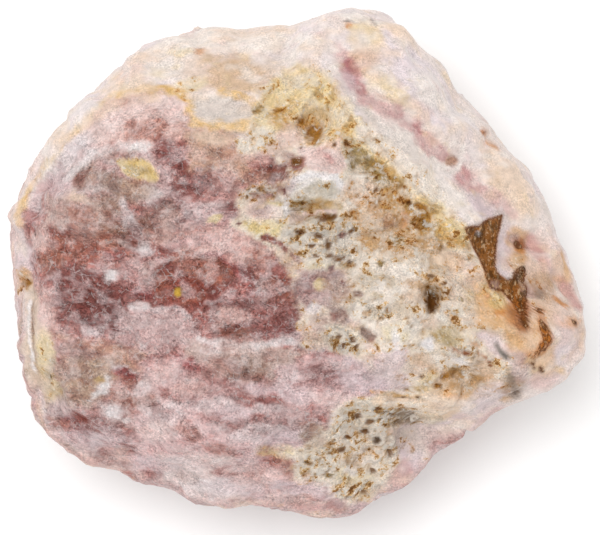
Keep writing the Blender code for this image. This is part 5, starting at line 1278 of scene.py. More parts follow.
IRON_STROKES: Strokes = (
    # warm wash over the tip
    Zone(M.WARM_SKIN, 0.7, ((24.2, 0.6), (26.6, 3), (30.4, 2), (34, -4), (34, -9.4), (31, -11), (26.4, -9),
        (26.4, -3)), 2.4),
    Zone(M.APRICOT, 0.8, ((20.6, -2.6), (24, -3.6), (25.6, -7), (27.4, -7.2), (29.6, -7.4), (30, -12),
        (29, -13.4), (26, -12.4), (23.4, -8.2), (20.8, -6.6)), 1.6),
    Patch(M.YELLOW_CREAM, 0.6, 23.2, -4.4, 0.9, 0.7, -30),
    Patch(M.ORANGE, 0.75, 23.4, -5.7, 0.7, 0.4, 10, 0.2), Patch(M.ORANGE, 0.7, 22, -3.9, 0.4, 0.3),
    Patch(M.ORANGE, 0.3, 28, -8.6, 0.9, 2, -8, 0.6), Patch(M.LILAC_SKIN, 0.6, 30.8, -9.6, 1.4, 2.6, -10),
    Vein(M.MAUVE_SKIN, 0.7, 0.75, ((26.8, 2.4), (28.4, 0.6), (30, -1.6), (31.6, -3.6), (32.4, -4.8)), 0.3),
    Zone(M.LILAC_SKIN, 0.45, ((23.2, 3.6), (24.4, 4.2), (24.8, 1.6), (24.9, -0.2), (24.2, -1.7),
        (23.2, -0.8), (23, 1.6)), 0.4, 0.2),
    Patch(M.PEACH_SKIN, 0.7, 31, 0, 1.6, 1.6),
    Zone(M.BEIGE, 0.4, ((26.8, -2), (28.8, -2.4), (29.4, -5), (29.2, -10), (26.8, -11),
        (26.6, -5.4)), 1, 0.7, 0.3),
    Patch(M.CLAY, 0.6, 25.2, -14, 1.3, 2, -10, 0.2), Patch(M.APRICOT, 0.7, 25.3, 2.9, 1.3, 1.1),
    Patch(M.APRICOT, 0.7, 25.5, 0.2, 0.9, 1.1), Patch(M.APRICOT, 0.6, 31, 0, 1.8, 2),
    Patch(M.BEIGE, 0.7, 28.2, -2.6, 1.2, 1), Patch(M.PEACH_SKIN, 0.5, 27.6, -9, 1.6, 1.8),
    Patch(M.APRICOT, 0.5, 22, 0.2, 1, 1.2), Patch(M.PEACH_SKIN, 0.4, 28.4, -11.8, 1.6, 1.4),
    # the rust pocket
    Zone(M.RUST, 1, RUST_POCKET, 0.35, 0.1), Patch(M.RUST_SPOT, 0.9, 25.8, -6.2, 1.3, 1.8, 8, 0.2),
    Vein(M.DARK_RUST, 0.8, 0.4, ((25.6, -5.2), (26, -6), (26.3, -7.1)), 0.3),
    Patch(M.ORANGE, 0.6, 24.6, -5.6, 0.8, 1.2, 10, 0.3),
    Vein(M.PINK_BEIGE, 0.6, 0.22, ((25.4, -1.4), (25.7, -2.2), (26.1, -3)), 0.3),
    Patch(M.GREY_MAUVE, 0.5, 22.7, -2.6, 0.6, 0.5, 30),
    Zone(M.ORANGE_RUST, 0.6, ((24.4, -3), (25.6, -2.8), (26.8, -4.6), (26.6, -7.4),
        (25.6, -6)), 0.5, 0.4, 0.3),
    Patch(M.DARK_RUST, 0.9, 25.9, -1.2, 0.35, 0.7, -10), Patch(M.DEEP_PORE, 0.7, 26.2, -6.6, 0.45, 0.5),
    Patch(M.DEEP_PORE, 0.4, 21, 2.8, 0.8, 0.5, 40, 0.3),
    Patch(M.BRIGHT_MILK, 0.95, 20.95, 3.3, 0.32, 0.26, wander=0.2),
    # blobs and streaks beyond it
    Patch(M.GREY_MAUVE, 0.6, 25, 2.7, 0.9, 0.7), Patch(M.RUST_SPOT, 0.85, 25.7, 1.9, 0.65, 0.9, 30),
    Patch(M.DARK_RUST, 0.7, 25.5, 1.9, 0.3, 0.6, 30), Patch(M.ORANGE, 0.7, 25.9, 1.3, 0.7, 0.3, -10),
    Patch(M.GREY_MAUVE, 0.7, 27.6, -3.2, 1.5, 0.9, 30), Patch(M.SOOT, 0.9, 28.1, -3.6, 0.7, 0.6, 20, 0.1),
    Vein(M.ORANGE_RUST, 1, 0.5, ((28.1, -5.6), (28.2, -6.6), (28.3, -7.4)), 0.6),
    Vein(M.ORANGE_RUST, 1, 0.52, ((28.5, -7.8), (29, -8.8), (28.5, -9.4), (28, -10.2)), 0.55),
    Vein(M.ORANGE_RUST, 0.95, 0.42, ((26.6, -10.3), (27.4, -10.5), (27.9, -10.2)), 0.7),
    Vein(M.DARK_RUST, 0.65, 0.32, ((27, -11.6), (27.8, -11.9), (28.4, -12.4)), 0.85),
    Vein(M.ORANGE, 0.85, 0.2, ((29.8, -4.1), (30.3, -4.5), (31, -5))),
    Patch(M.ORANGE, 0.6, 31.6, -6.8, 1, 0.6, 0, 0.2), Patch(M.DARK_RUST, 0.85, 32, -6.9, 0.3, 0.26),
    Patch(M.STRONG_YELLOW, 0.6, 30.6, -12.5, 0.8, 0.4, -30, 0.2),
    Patch(M.GREY_MAUVE, 0.75, 25.6, -12, 0.9, 1.8, 12),
    Vein(M.SOOT, 0.9, 0.3, ((23, -9.5), (23.6, -10.3), (24.2, -10.8)), 0.1),
    Vein(M.SOOT, 0.85, 0.42, ((24.7, -13.2), (25, -14.2), (25.4, -15.3)), 0.25),
    Patch(M.OCHRE, 0.8, 24, -15.6, 0.7, 0.4, 0, 0.2), Patch(M.PINK_SKIN, 0.7, 28.4, -13.6, 2, 0.9, 10),
    Patch(M.TAN_SKIN, 0.65, 28.6, -2.2, 1.5, 1.2), Patch(M.RUST_SPOT, 0.4, 25.2, -5.8, 1.2, 1.4, 10, 0.3),
    Patch(M.BEIGE, 0.5, 25.2, 0.2, 1.1, 1, 0, 0.2), Patch(M.APRICOT, 0.35, 31.2, 0.4, 1.6, 1.4),
)

TOUCH_STROKES: Strokes = (
    # last touches of colour all over the upper side
    Patch(M.CREAM_WHITE, 0.26, 2.3, 0.2, 1.7, 1.6), Patch(M.MAUVE, 0.22, -1, 0.1, 1.6, 1.6),
    Patch(M.RUST_SPOT, 0.16, 24.7, 0.3, 1.3, 1.3), Patch(M.CLAY, 0.3, 27.9, -3, 1.7, 1.6),
    Patch(M.RUST_SPOT, 0.15, 28, -2.6, 1.6, 1.7), Patch(M.RUST_SPOT, 0.17, 21.9, -11.8, 1.8, 1.5),
    Patch(M.RUST_SPOT, 0.18, 24.9, -14.4, 1.4, 1.6), Patch(M.DARK_OCHRE, 0.16, 19.2, -14.4, 1.8, 1.5),
    Patch(M.RUST_SPOT, 0.13, 13.5, -11.9, 1.8, 1.5), Patch(M.MAUVE, 0.16, 2.1, -6.2, 1.8, 1.6),
    Patch(M.MAUVE, 0.18, 2.3, -9, 1.7, 1.5), Patch(M.LIGHT_CRIMSON, 0.34, -6.6, -2.8, 1.9, 1.4),
    Patch(M.TAN_ROSE, 0.26, -6.8, -8.9, 1.8, 1.5), Patch(M.TAN_ROSE, 0.24, -12.4, 0.2, 1.8, 1.4),
    Patch(M.TAN_ROSE, 0.28, -4.1, 0.1, 1.7, 1.4), Patch(M.RED_ROSE, 0.34, -24, -2.9, 1.9, 1.4),
    Patch(M.RED_ROSE, 0.34, -12.5, -3, 1.9, 1.4), Patch(M.MAUVE, 0.2, -18.1, -9.1, 1.9, 1.3),
    Patch(M.DARK_OCHRE, 0.17, -18.2, 8.6, 1.8, 1.5), Patch(M.TAN_ROSE, 0.24, -21.1, 2.8, 1.8, 1.5),
    Patch(M.BLUSH, 0.5, -18, 17.2, 1.8, 1.4), Patch(M.BLUSH, 0.2, -26.8, -11.9, 1.6, 1.6),
    Patch(M.MILK, 0.25, -1.3, -17.6, 1.9, 1.4), Patch(M.MILK, 0.36, -12.4, -23.4, 1.9, 1.4),
    Patch(M.MILK, 0.38, -10.2, -26, 3.4, 1.3), Patch(M.LILAC, 0.34, -1, -26.2, 1.9, 1.4),
    Patch(M.GREY_SKIN, 0.4, 14.2, -20.4, 1.6, 1.6), Patch(M.CREAM_WHITE, 0.19, 7.7, -20.4, 1.8, 1.5),
    Patch(M.KNOB_WHITE, 0.34, 7.8, -23.3, 1.7, 1.5), Patch(M.WHITE_SKIN, 0.7, 19.2, 17.2, 1.6, 1.5),
    Patch(M.BLUSH, 0.4, 10.7, 17.2, 1.5, 1.5), Patch(M.PALE_OCHRE, 0.32, 2.2, 17.3, 1.7, 1.6),
    Patch(M.DARK_OCHRE, 0.16, -1.1, 14.2, 1.7, 1.5), Patch(M.OCHRE, 0.22, 4.8, 14.2, 1.7, 1.6),
    # the cream-white patch on the crest's south-east slope is painted light over its shade
    Patch(M.CREAM_WHITE, 0.3, 13.6, 8.7, 1.5, 1.4), Patch(M.DARK_OCHRE, 0.22, 10.7, 5.8, 1.7, 1.5),
    Patch(M.OCHRE, 0.3, 13.8, 5.7, 1.6, 1.5), Patch(M.PALE_OCHRE, 0.2, 18.2, 2.8, 1.1, 1.4),
    Patch(M.CREAM_SKIN, 0.65, 8, 26, 1.6, 1.3), Patch(M.LAVENDER_SKIN, 0.5, 2.2, 23.2, 1.8, 1.4),
    # the white skin patch on the crest's south-east slope is painted light over its shade
    Patch(M.APRICOT, 0.26, 7.8, 23.2, 1.6, 1.5), Patch(M.WHITE_SKIN, 0.35, 13.5, 8.7, 1.5, 1.4),
    Patch(M.MAUVE, 0.18, 4.9, -3, 1.7, 1.5), Patch(M.BROWN_ROSE, 0.16, -21, 5.7, 1.8, 1.5),
    Patch(M.MILK, 0.3, -6.8, -26, 1.9, 1.4), Patch(M.RUST_SPOT, 0.12, 28, -2.8, 1.7, 1.6),
    Patch(M.CLEAR_YELLOW, 1, -13.4, -3.4, 0.42, 0.52, wander=0),
)

HOLES: tuple[Hole, ...] = (
    Hole(2.2, 14.9, 0.9, 0.7, 20, 0.5, M.DARK_OCHRE), Hole(0.8, 16.1, 0.4, 0.4, 0, 0.3, M.DARK_OCHRE),
    Hole(-1.9, 17.3, 0.5, 0.25, 0, 0.25, M.DARK_OCHRE), Hole(0.2, 11.4, 0.7, 0.5, 0, 0.45),
    Hole(5.9, 13.5, 0.4, 0.3, -30, 0.3), Hole(0.7, 13, 0.2, 0.18, 0, 0.2),
    Hole(4.5, 13.4, 0.25, 0.2, 0, 0.2), Hole(9.2, 8.2, 0.4, 0.3, 30, 0.3),
    Hole(8.4, 8.3, 0.2, 0.15, 0, 0.2), Hole(12.9, 6.8, 0.45, 0.25, -35, 0.3),
    Hole(14.4, 6.3, 0.9, 0.4, -30, 0.35, M.DARK_OCHRE), Hole(15, 4.4, 0.6, 0.3, -30, 0.25, M.OLIVE),
    Hole(3.6, 5.1, 1.1, 0.4, 6, 0.4), Hole(0.6, 3.4, 0.5, 0.25, -20, 0.3),
    Hole(2.6, 3, 0.5, 0.25, -30, 0.35), Hole(3.8, 1.9, 0.3, 0.5, 0, 0.35),
    Hole(1.9, 1.9, 0.4, 0.25, 10, 0.3), Hole(2.4, 0.7, 0.4, 0.2, -20, 0.3),
    Hole(3.9, 0.7, 0.35, 0.25, 30, 0.3), Hole(5.2, 0.4, 0.6, 0.2, 10, 0.3),
    Hole(6.2, 0.1, 0.3, 0.2, -30, 0.3), Hole(4.1, -0.7, 0.4, 0.3, 0, 0.3, M.DARK_MAUVE),
    Hole(6.4, 3.6, 0.4, 0.25, 30, 0.3), Hole(5.4, -2.3, 0.25, 0.4, 10, 0.3, M.DARK_MAUVE),
    Hole(7.2, -3.6, 0.6, 0.35, 0, 0.35, M.GREY_BROWN), Hole(-6.4, 4.4, 0.35, 0.25, 0, 0.25, M.DARK_MAUVE),
    Hole(-1.2, 8, 0.2, 0.4, 0, 0.25, M.DARK_MAUVE), Hole(10.6, -5.4, 0.3, 0.3, 0, 0.2, M.DARK_OCHRE),
    Hole(8.6, -5.6, 0.2, 0.2, 0, 0.15, M.DARK_OCHRE), Hole(9.8, -0.1, 0.35, 0.4, 0, 0.25, M.OLIVE),
    Hole(13.4, -4.5, 0.15, 0.13, 0, 0.15), Hole(15.6, -4.7, 0.55, 1, 0, 0.8),
    Hole(15.2, -3.2, 0.25, 0.6, 5, 0.6, M.GOLD_BROWN), Hole(15.6, -1.6, 0.4, 0.3, 0, 0.3),
    Hole(17, -2.4, 0.3, 0.2, 30, 0.25), Hole(18.8, -4.2, 0.3, 0.25, 0, 0.15, M.OLIVE),
    Hole(8.2, -8.2, 1, 0.45, -40, 0.4, M.GREY_BROWN), Hole(5, -8.5, 0.4, 0.25, 0, 0.3),
    Hole(5.4, -9.6, 0.4, 0.25, 20, 0.3), Hole(6.5, -8.8, 0.4, 0.25, -40, 0.35),
    Hole(7, -9.6, 0.25, 0.35, 0, 0.3), Hole(19.5, -10.3, 0.35, 0.25, 0, 0.25, M.RUST_SPOT),
    Hole(22.3, -11.6, 0.2, 0.4, 10, 0.3, M.RUST_SPOT), Hole(17, -13, 0.45, 0.28, 30, 0.4, M.DARK_OCHRE),
    Hole(16.4, -14.1, 0.4, 0.28, -20, 0.4, M.DARK_OCHRE), Hole(12.4, -15.4, 0.25, 0.12, -6, 0.15),
    Hole(14, -15.4, 0.3, 0.12, 0, 0.15), Hole(14.5, -13.1, 0.25, 0.15, 20, 0.2),
    Hole(7.2, -17.5, 0.45, 0.4, 0, 0.4), Hole(8.6, -18.2, 0.5, 0.3, 20, 0.35),
    Hole(9.4, -16.7, 0.4, 0.2, 30, 0.3), Hole(8, -19.4, 0.4, 0.3, -20, 0.4),
    Hole(9.4, -20.4, 0.4, 0.4, 0, 0.5, M.DEEP_PORE), Hole(5.4, -21.4, 0.5, 0.3, 30, 0.4),
    Hole(6, -19.9, 0.4, 0.25, 0, 0.3), Hole(10.9, -21.8, 0.25, 0.45, 10, 0.3),
    Hole(7.7, -26.3, 0.7, 0.3, -14, 0.4), Hole(9, -24, 0.3, 0.35, 0, 0.3),
    # the tan rose stain of the hole at 17.8, 11.6 is painted shade in the small cavity
    Hole(3.9, -24.4, 0.4, 0.25, 0, 0.25, M.OLIVE), Hole(17.8, 11.6, 0.6, 0.45, 35, 0.35, M.TAN_ROSE),
    Hole(-30.5, -2.3, 0.4, 0.35, 0, 0.2, M.DARK_OCHRE),
)


# Minerals that come and go all over one kind of surface
SKIN_BLOOMS = (
    Bloom(M.LAVENDER_SKIN, (7.0, 7.0, 5.0), 31, 0.0, 0.7, 0.6),
    Bloom(M.PEACH_SKIN, (4.6, 4.6, 3.0), 32, 0.05, 0.8, 0.6),
    Bloom(M.WHITE_SKIN, (3.4, 2.6, 3.0), 33, 0.05, 0.7, 0.6),
    Bloom(M.CREAM_SKIN, (2.0, 2.0, 1.6), 34, 0.3, 0.9, 0.4),
    Bloom(M.PINK_SKIN, (2.6, 2.6, 2.0), 35, 0.3, 0.9, 0.35),
)
CRYSTAL_BLOOMS = (
    Bloom(M.MILK, (3.4, 1.1, 1.6), 41, 0.15, 0.8, 0.25),
    Bloom(M.MAUVE, (2.8, 1.0, 1.4), 42, 0.2, 0.9, 0.35),
    Bloom(M.BRIGHT_MILK, (1.3, 0.6, 1.0), 43, 0.3, 0.9, 0.3),
    Bloom(M.DARK_MAUVE, (1.2, 0.7, 1.0), 44, 0.35, 0.95, 0.35),
)
WASTE_BLOOMS = (
    Bloom(M.GREY_CREAM, (2.6, 2.0, 2.0), 45, 0.0, 0.7, 0.3),
    Bloom(M.PALE_OCHRE, (2.4, 2.0, 2.0), 46, 0.1, 0.8, 0.4),
    Bloom(M.CREAM_WHITE, (1.6, 1.3, 1.3), 47, 0.1, 0.7, 0.7),
    Bloom(M.OCHRE, (1.1, 0.9, 1.0), 48, 0.35, 0.9, 0.5),
)
WALL_SKIN_BLOOMS = SKIN_BLOOMS + (
    Bloom(M.MAUVE_SKIN, (9.0, 9.0, 1.8), 51, 0.35, 0.85, 0.6),
    Bloom(M.GREY_SKIN, (4.0, 4.0, 2.0), 52, 0.1, 0.8, 0.6),
    Bloom(M.TAN_SKIN, (5.0, 5.0, 2.4), 53, 0.3, 0.9, 0.6),
    Bloom(M.SMOOTH_CREAM, (2.2, 2.2, 1.6), 54, 0.45, 0.8, 0.6),
    Bloom(M.STRONG_YELLOW, (1.8, 1.8, 1.0), 55, 0.6, 0.95, 0.6),
)
WALL_BREAK_BLOOMS = (
    Bloom(M.PALE_ROSE, (9.0, 9.0, 2.6), 56, -0.1, 0.4, 0.9),
    Bloom(M.ROSE, (8.0, 8.0, 1.6), 57, 0.1, 0.6, 0.8),
    Bloom(M.MILK, (8.0, 8.0, 1.3), 58, 0.1, 0.6, 0.8),
    Bloom(M.MAUVE, (6.0, 6.0, 1.0), 59, 0.25, 0.8, 0.7),
    Bloom(M.OLIVE_ROSE, (5.0, 5.0, 1.6), 60, 0.3, 0.8, 0.6),
    Bloom(M.CREAM, (4.4, 4.4, 2.2), 61, 0.25, 0.7, 0.8),
    Bloom(M.OCHRE, (1.6, 1.6, 0.9), 62, 0.6, 0.95, 0.6),
)


# ---------------------------------------------------------------- colour


@dataclass(frozen=True)
class Coat:
    """What covers the stone: the rind of its walls, then the strokes and blooms of its upper side."""

    top_rise: Spot = (0.1, 0.42)  # how far up a surface faces where the upper side's strokes come in
    top_ragged: Spot = (3.0, 0.08)  # wave length and reach of what makes that line ragged
    warps: tuple[Spot, ...] = ((4.2, 0.16), (1.1, 0.22), (0.5, 0.1))  # the same for the strokes' wandering
    fray_stretch: Triple = (1.7, 0.9, 1.2)
    fray_size: float = 1.5
    frays: int = 4
    grain_size: float = 0.8  # of what dapples a stroke
    grain_span: Spot = (-0.25, 0.25)
    broken_azimuth: float = 245.0  # middle of the side that broke through the layers
    broken_spread: Spot = (95.0, 60.0)  # degrees from that middle over which the skin ends
    broken_ragged: Spot = (7.0, 14.0)  # wave length and reach, in degrees, of what makes that line ragged
    dip: Spot = (0.12, -0.2)  # how the layers rise along x and y
    layer_waves: float = 9.0  # wave length of the layers' rise and fall
    pocket_edge: Spot = (-0.85, 1.0)  # depths inside the rust pocket over which its filling thickens
    bare: float = 5.0  # how fast the skin's blooms end where another kind of surface begins

    def lay(self, values: Array, mineral: Mineral, share: Array) -> None:
        """Blend one mineral into the coat, in place."""
        values += share[:, None] * (mineral.value.values() - values)

    def start(self, points: Array, mineral: Mineral) -> Array:
        """A coat of one mineral, one row per point."""
        return np.tile(mineral.value.values(), (len(points), 1))

    def broken(self, points: Array) -> Array:
        """How far each point lies on the broken side, from its compass angle.

        Args:
            points: the lump's points.

        Returns:
            A share from 0 to 1 per row.
        """
        size, reach = self.broken_ragged
        azimuth = np.degrees(np.arctan2(points[:, 1], points[:, 0]))
        away = np.abs((azimuth - self.broken_azimuth + 180) % 360 - 180)
        return ramp(away + reach * noise(points, size, Salt.BROKEN_SIDE), *self.broken_spread)

    def rind(self, points: Array) -> Array:
        """The coat of the walls and the underside.

        Args:
            points: the lump's points.

        Returns:
            Six numbers per row, as in a finish.
        """
        layered = points.copy()
        layered[:, 2] += points[:, :2] @ np.array(self.dip) + noise(points, self.layer_waves, Salt.LAYERS)
        skin, inside = self.start(points, M.SKIN), self.start(points, M.GREY_PINK)
        for values, blooms in ((skin, WALL_SKIN_BLOOMS), (inside, WALL_BREAK_BLOOMS)):
            for bloom in blooms:
                self.lay(values, bloom.mineral, bloom.cover(layered))
        return skin + self.broken(points)[:, None] * (inside - skin)

    def warped_plan(self, points: Array) -> Array:
        """The plan places with their wandering: each is moved by a vector of noise."""
        plan = points[:, :2].copy()
        for number, (size, reach) in enumerate(self.warps):
            for axis in range(2):
                plan[:, axis] += reach * noise(points, size, Salt.WARPS + 2 * number + axis)
        return plan

    def upper(self, points: Array) -> Array:
        """The coat of the upper side: strokes laid one over the other, then blooms on each kind of surface.

        Args:
            points: points of the upper side.

        Returns:
            Six numbers per row, as in a finish.
        """
        still, plan = points[:, :2], self.warped_plan(points)
        stretched = points / self.fray_stretch
        salts = range(Salt.FRAYS, Salt.FRAYS + 5 * self.frays, 5)
        frays = [rough_noise(stretched, self.fray_size, salt) for salt in salts]
        grains = ramp(rough_noise(points, self.grain_size, Salt.GRAINS, octaves=2), *self.grain_span)
        values = self.start(points, M.SKIN)
        wandering = SKIN_STROKES + ROSE_STROKES + WASTE_STROKES + STRIP_STROKES
        for number, stroke in enumerate(wandering + IRON_STROKES + TOUCH_STROKES):
            here = plan if number < len(wandering) else still
            cover = stroke.cover(here, frays[number % self.frays]) * stroke.strength
            self.lay(values, stroke.mineral, cover * (1 - stroke.dapple * grains))
        filling = ramp(depth_inside(still, RUST_POCKET), *self.pocket_edge)
        values[:, RUST] = np.maximum(values[:, RUST], filling)
        crystal, porous, rust = values[:, CRYSTAL:].T.copy()
        bare = 1 - self.bare * np.maximum(np.maximum(crystal, porous), rust)
        for blooms, kind in ((CRYSTAL_BLOOMS, crystal), (WASTE_BLOOMS, porous), (SKIN_BLOOMS, bare)):
            for bloom in blooms:
                self.lay(values, bloom.mineral, bloom.cover(points) * np.clip(kind, 0, 1))
        return values

    def cover(self, points: Array, normals: Array) -> Array:
        """The whole coat, with the upper side's strokes wherever the surface faces up.

        Args:
            points: the lump's points with its main forms.
            normals: its surface normals.

        Returns:
            Six numbers per row, as in a finish.
        """
        values = self.rind(points)
        size, reach = self.top_ragged
        share = ramp(normals[:, 2] + reach * noise(points, size, Salt.TOP_EDGE), *self.top_rise)
        seen = np.flatnonzero(share > 0)
        values[seen] += share[seen, None] * (self.upper(points[seen]) - values[seen])
        return values


# ---------------------------------------------------------------- fine relief


@dataclass(frozen=True)
class Grain:
    """The fine relief: crystal facets and ledges, the waste's web, pits and holes, the skin's soft lumps."""

    crystal_facets: tuple[Triple, ...] = ((2.6, 0.24, 16.0), (1.2, 0.36, 14.0))  # width, tilt and crispness
    crystal_grains: Spot = (0.7, 0.06)  # wave length and height
    crystal_wear: float = 0.6  # how much flatter the crystal is on the walls
    crystal_shade: float = 5.0  # how fast its painted highlight and shade follow its height
    milk_and_highlight_crests: Triple = (0.35, 0.1, 1.0)  # strength, and the heights over which the crests turn milky, partly as painted highlight
    # painted shade in the crystal's recesses: strength, and the heights over which it comes in
    painted_shade_recesses: Triple = (0.4, -0.1, -1.0)
    ledge_stretch: Triple = (7.0, 1.5, 2.4)
    ledge_height: float = 0.24
    web: tuple[Spot, ...] = ((2.0, 0.30), (1.0, 0.26), (0.55, 0.15))  # wave length and height
    web_crest: Spot = (0.2, 0.45)  # heights of the web over which its crests whiten
    crest_white: float = 0.7  # how white they get
    crest_depth: Spot = (0.3, 0.0)  # how deep in a hollow that ends
    basin_size: float = 1.7  # wave length of the waste's ragged hollows
    basin_span: Spot = (0.1, 0.6)  # how low the swell lies at a hollow's rim and in its bed
    basin_depth: float = 0.75
    basin_warp: Spot = (0.9, 0.45)  # wave length and reach of what makes them ragged
    basin_fields: Triple = (5.0, -0.5, 0.35)  # wave length and span of the noise that gathers them
    basin_least: float = 0.35  # share of their depth that is left between the fields
    pit_ochre: Triple = (0.7, 0.1, 0.5)  # strength, and the depths in a hollow over which it comes in
    pit_brown: Triple = (0.75, 0.5, 1.0)
    skin_lumps: tuple[Spot, ...] = ((3.2, 0.09), (1.1, 0.03))
    skin_least: float = 0.4  # height of those lumps on the other kinds of surface
    wall_rise: Spot = (0.45, 0.1)  # how far up a surface faces where the walls' relief comes in
    wall_facets: Triple = (3.6, 0.07, 12.0)
    wall_ledges: Triple = (8.0, 8.0, 1.1)
    wall_ledge_height: float = 0.09
    fibre_stretch: Triple = (0.6, 2.6, 1.0)
    fibre_height: float = 0.12
    hole_rise: float = 0.2  # holes open only in surfaces that face up more than this
    hole_edge: Spot = (1.3, 0.55)  # shares of a hole's half axes over which it deepens
    hole_stain: Triple = (0.9, 1.25, 0.75)  # strength of its stain, and the shares over which it comes in
    hole_fray: Spot = (0.8, 0.55)  # wave length and height of what makes the holes ragged

    def hollow(self, points: Array) -> Array:
        """How deep in a ragged hollow of the waste each point lies, from 0 to 1: where a swell is low."""
        size, reach = self.basin_warp
        warp = np.stack([noise(points, size, Salt.BASIN_WARP + axis) for axis in range(3)], axis=1)
        swell = rough_noise(points + reach * warp, self.basin_size, Salt.BASINS, octaves=3, keep=0.75)
        size, low, high = self.basin_fields
        gathered = ramp(noise(points, size, Salt.BASIN_FIELDS), low, high)
        return ramp(-swell, *self.basin_span) * (self.basin_least + (1 - self.basin_least) * gathered)

    def holes(self, points: Array, coat: Coat, values: Array) -> Array:
        """Sink the named holes and lay their stains.

        Args:
            points: points of the upper side.
            coat: lays the stains.
            values: the coat's numbers, changed in place.

        Returns:
            A height in millimetres per row.
        """
        size, tall = self.hole_fray
        fray = tall * rough_noise(points, size, Salt.HOLES, octaves=3)
        strength, start, end = self.hole_stain
        height = np.zeros(len(points))
        for hole in HOLES:
            spread = ellipse_distance(points[:, :2], (hole.x, hole.y), (hole.length, hole.width), hole.turn)
            distance = spread + fray
            height = np.minimum(height, -hole.depth * ramp(distance, *self.hole_edge))
            coat.lay(values, hole.stain, strength * ramp(distance, start, end))
        return height

    def stain(self, coat: Coat, values: Array, hollow: Array, crest: Array) -> None:
        """Darken the pits of the waste from ochre to brown, and whiten the crests of its web, in place."""
        porous = values[:, POROUS].copy()
        coat.lay(values, M.CREAM_WHITE, self.crest_white * porous * crest)
        for mineral, (strength, start, end) in ((M.OCHRE, self.pit_ochre), (M.PORE, self.pit_brown)):
            coat.lay(values, mineral, strength * porous * ramp(hollow, start, end))

    def paint_crystal_highlight_and_shade(self, coat: Coat, values: Array, crest: Array) -> None:
        """Paint highlight and shade on the crystal by its height: its crests milky and lighter, its recesses
        darker as painted shade, in place.
        """
        crystal = values[:, CRYSTAL].copy()
        highlight_and_shade = ((M.MILK, self.milk_and_highlight_crests), (M.DARK_MAUVE, self.painted_shade_recesses))
        for mineral, (strength, start, end) in highlight_and_shade:
            coat.lay(values, mineral, strength * crystal * ramp(crest, start, end))

    def relief(self, points: Array, normals: Array, coat: Coat, values: Array) -> Array:
        """Height of the fine relief, weighted by the coat's crystal, porous and rust shares.

        Args:
            points: the lump's points with its main forms.
            normals: its surface normals.
            coat: lays the stains, and the crystal's painted highlight and shade, that follow the relief.
            values: the coat's numbers, changed in place.

        Returns:
            A height in millimetres per row.
        """
        crystal, porous, rust = values[:, CRYSTAL:].T.copy()
        smooth = np.clip(1 - crystal - porous - rust, 0, 1)
        wall = ramp(normals[:, 2], *self.wall_rise)
        height = np.zeros(len(points))
        for number, (width, tilt, crispness) in enumerate(self.crystal_facets):
            height += facets(points, width, tilt, crispness, Salt.CRYSTAL_FACETS + 3 * number)
        size, tall = self.crystal_grains
        height = (height + tall * noise(points, size, Salt.CRYSTAL_GRAINS)) * crystal
        height *= 1 - self.crystal_wear * wall
        self.paint_crystal_highlight_and_shade(coat, values, height * self.crystal_shade)
        height += crystal * self.ledge_height * noise(points / self.ledge_stretch, 1.0, Salt.LEDGES)
        hollow = self.hollow(points)
        web = np.zeros(len(points))
        for number, (size, tall) in enumerate(self.web):
            web += tall * (1 - 2 * np.abs(noise(points, size, Salt.WEB + number)))
        height += porous * (web - self.basin_depth * hollow)
        for number, (size, tall) in enumerate(self.skin_lumps):
            share = self.skin_least + (1 - self.skin_least) * smooth
            height += share * tall * noise(points, size, Salt.SKIN_LUMPS + number)
        width, tilt, crispness = self.wall_facets
        height += wall * facets(points, width, tilt, crispness, Salt.WALL_FACETS)
        ledges = self.wall_ledge_height * noise(points / self.wall_ledges, 1.0, Salt.WALL_LEDGES)
        height += wall * coat.broken(points) * ledges
        height += rust * self.fibre_height * noise(points / self.fibre_stretch, 1.0, Salt.FIBRES)
        self.stain(coat, values, hollow, ramp(web, *self.web_crest) * ramp(hollow, *self.crest_depth))
        upper = np.flatnonzero(normals[:, 2] > self.hole_rise)
        dressed = values[upper]
        height[upper] += self.holes(points[upper], coat, dressed)
        values[upper] = dressed
        return height


# ---------------------------------------------------------------- material


@dataclass(frozen=True)
class Swing:
    """How a number in a pattern is used: low..high of it become the two ends of out, and it's held there."""

    low: float
    high: float
    out: Spot = (0.0, 1.0)


@dataclass(frozen=True)
class Speckle:
    """A noise in a pattern: the width of its swells, and how many finer noises lie on it and how strong."""

    size: float
    detail: float = 3.0
    keep: float = 0.6


@dataclass(frozen=True)
class Veil:
    """A finer mineral that shows where a speckle is high: from low to high its share grows to most."""

    size: float
    low: float
    high: float
    most: float
    detail: float = 7.0
    keep: float = 0.7


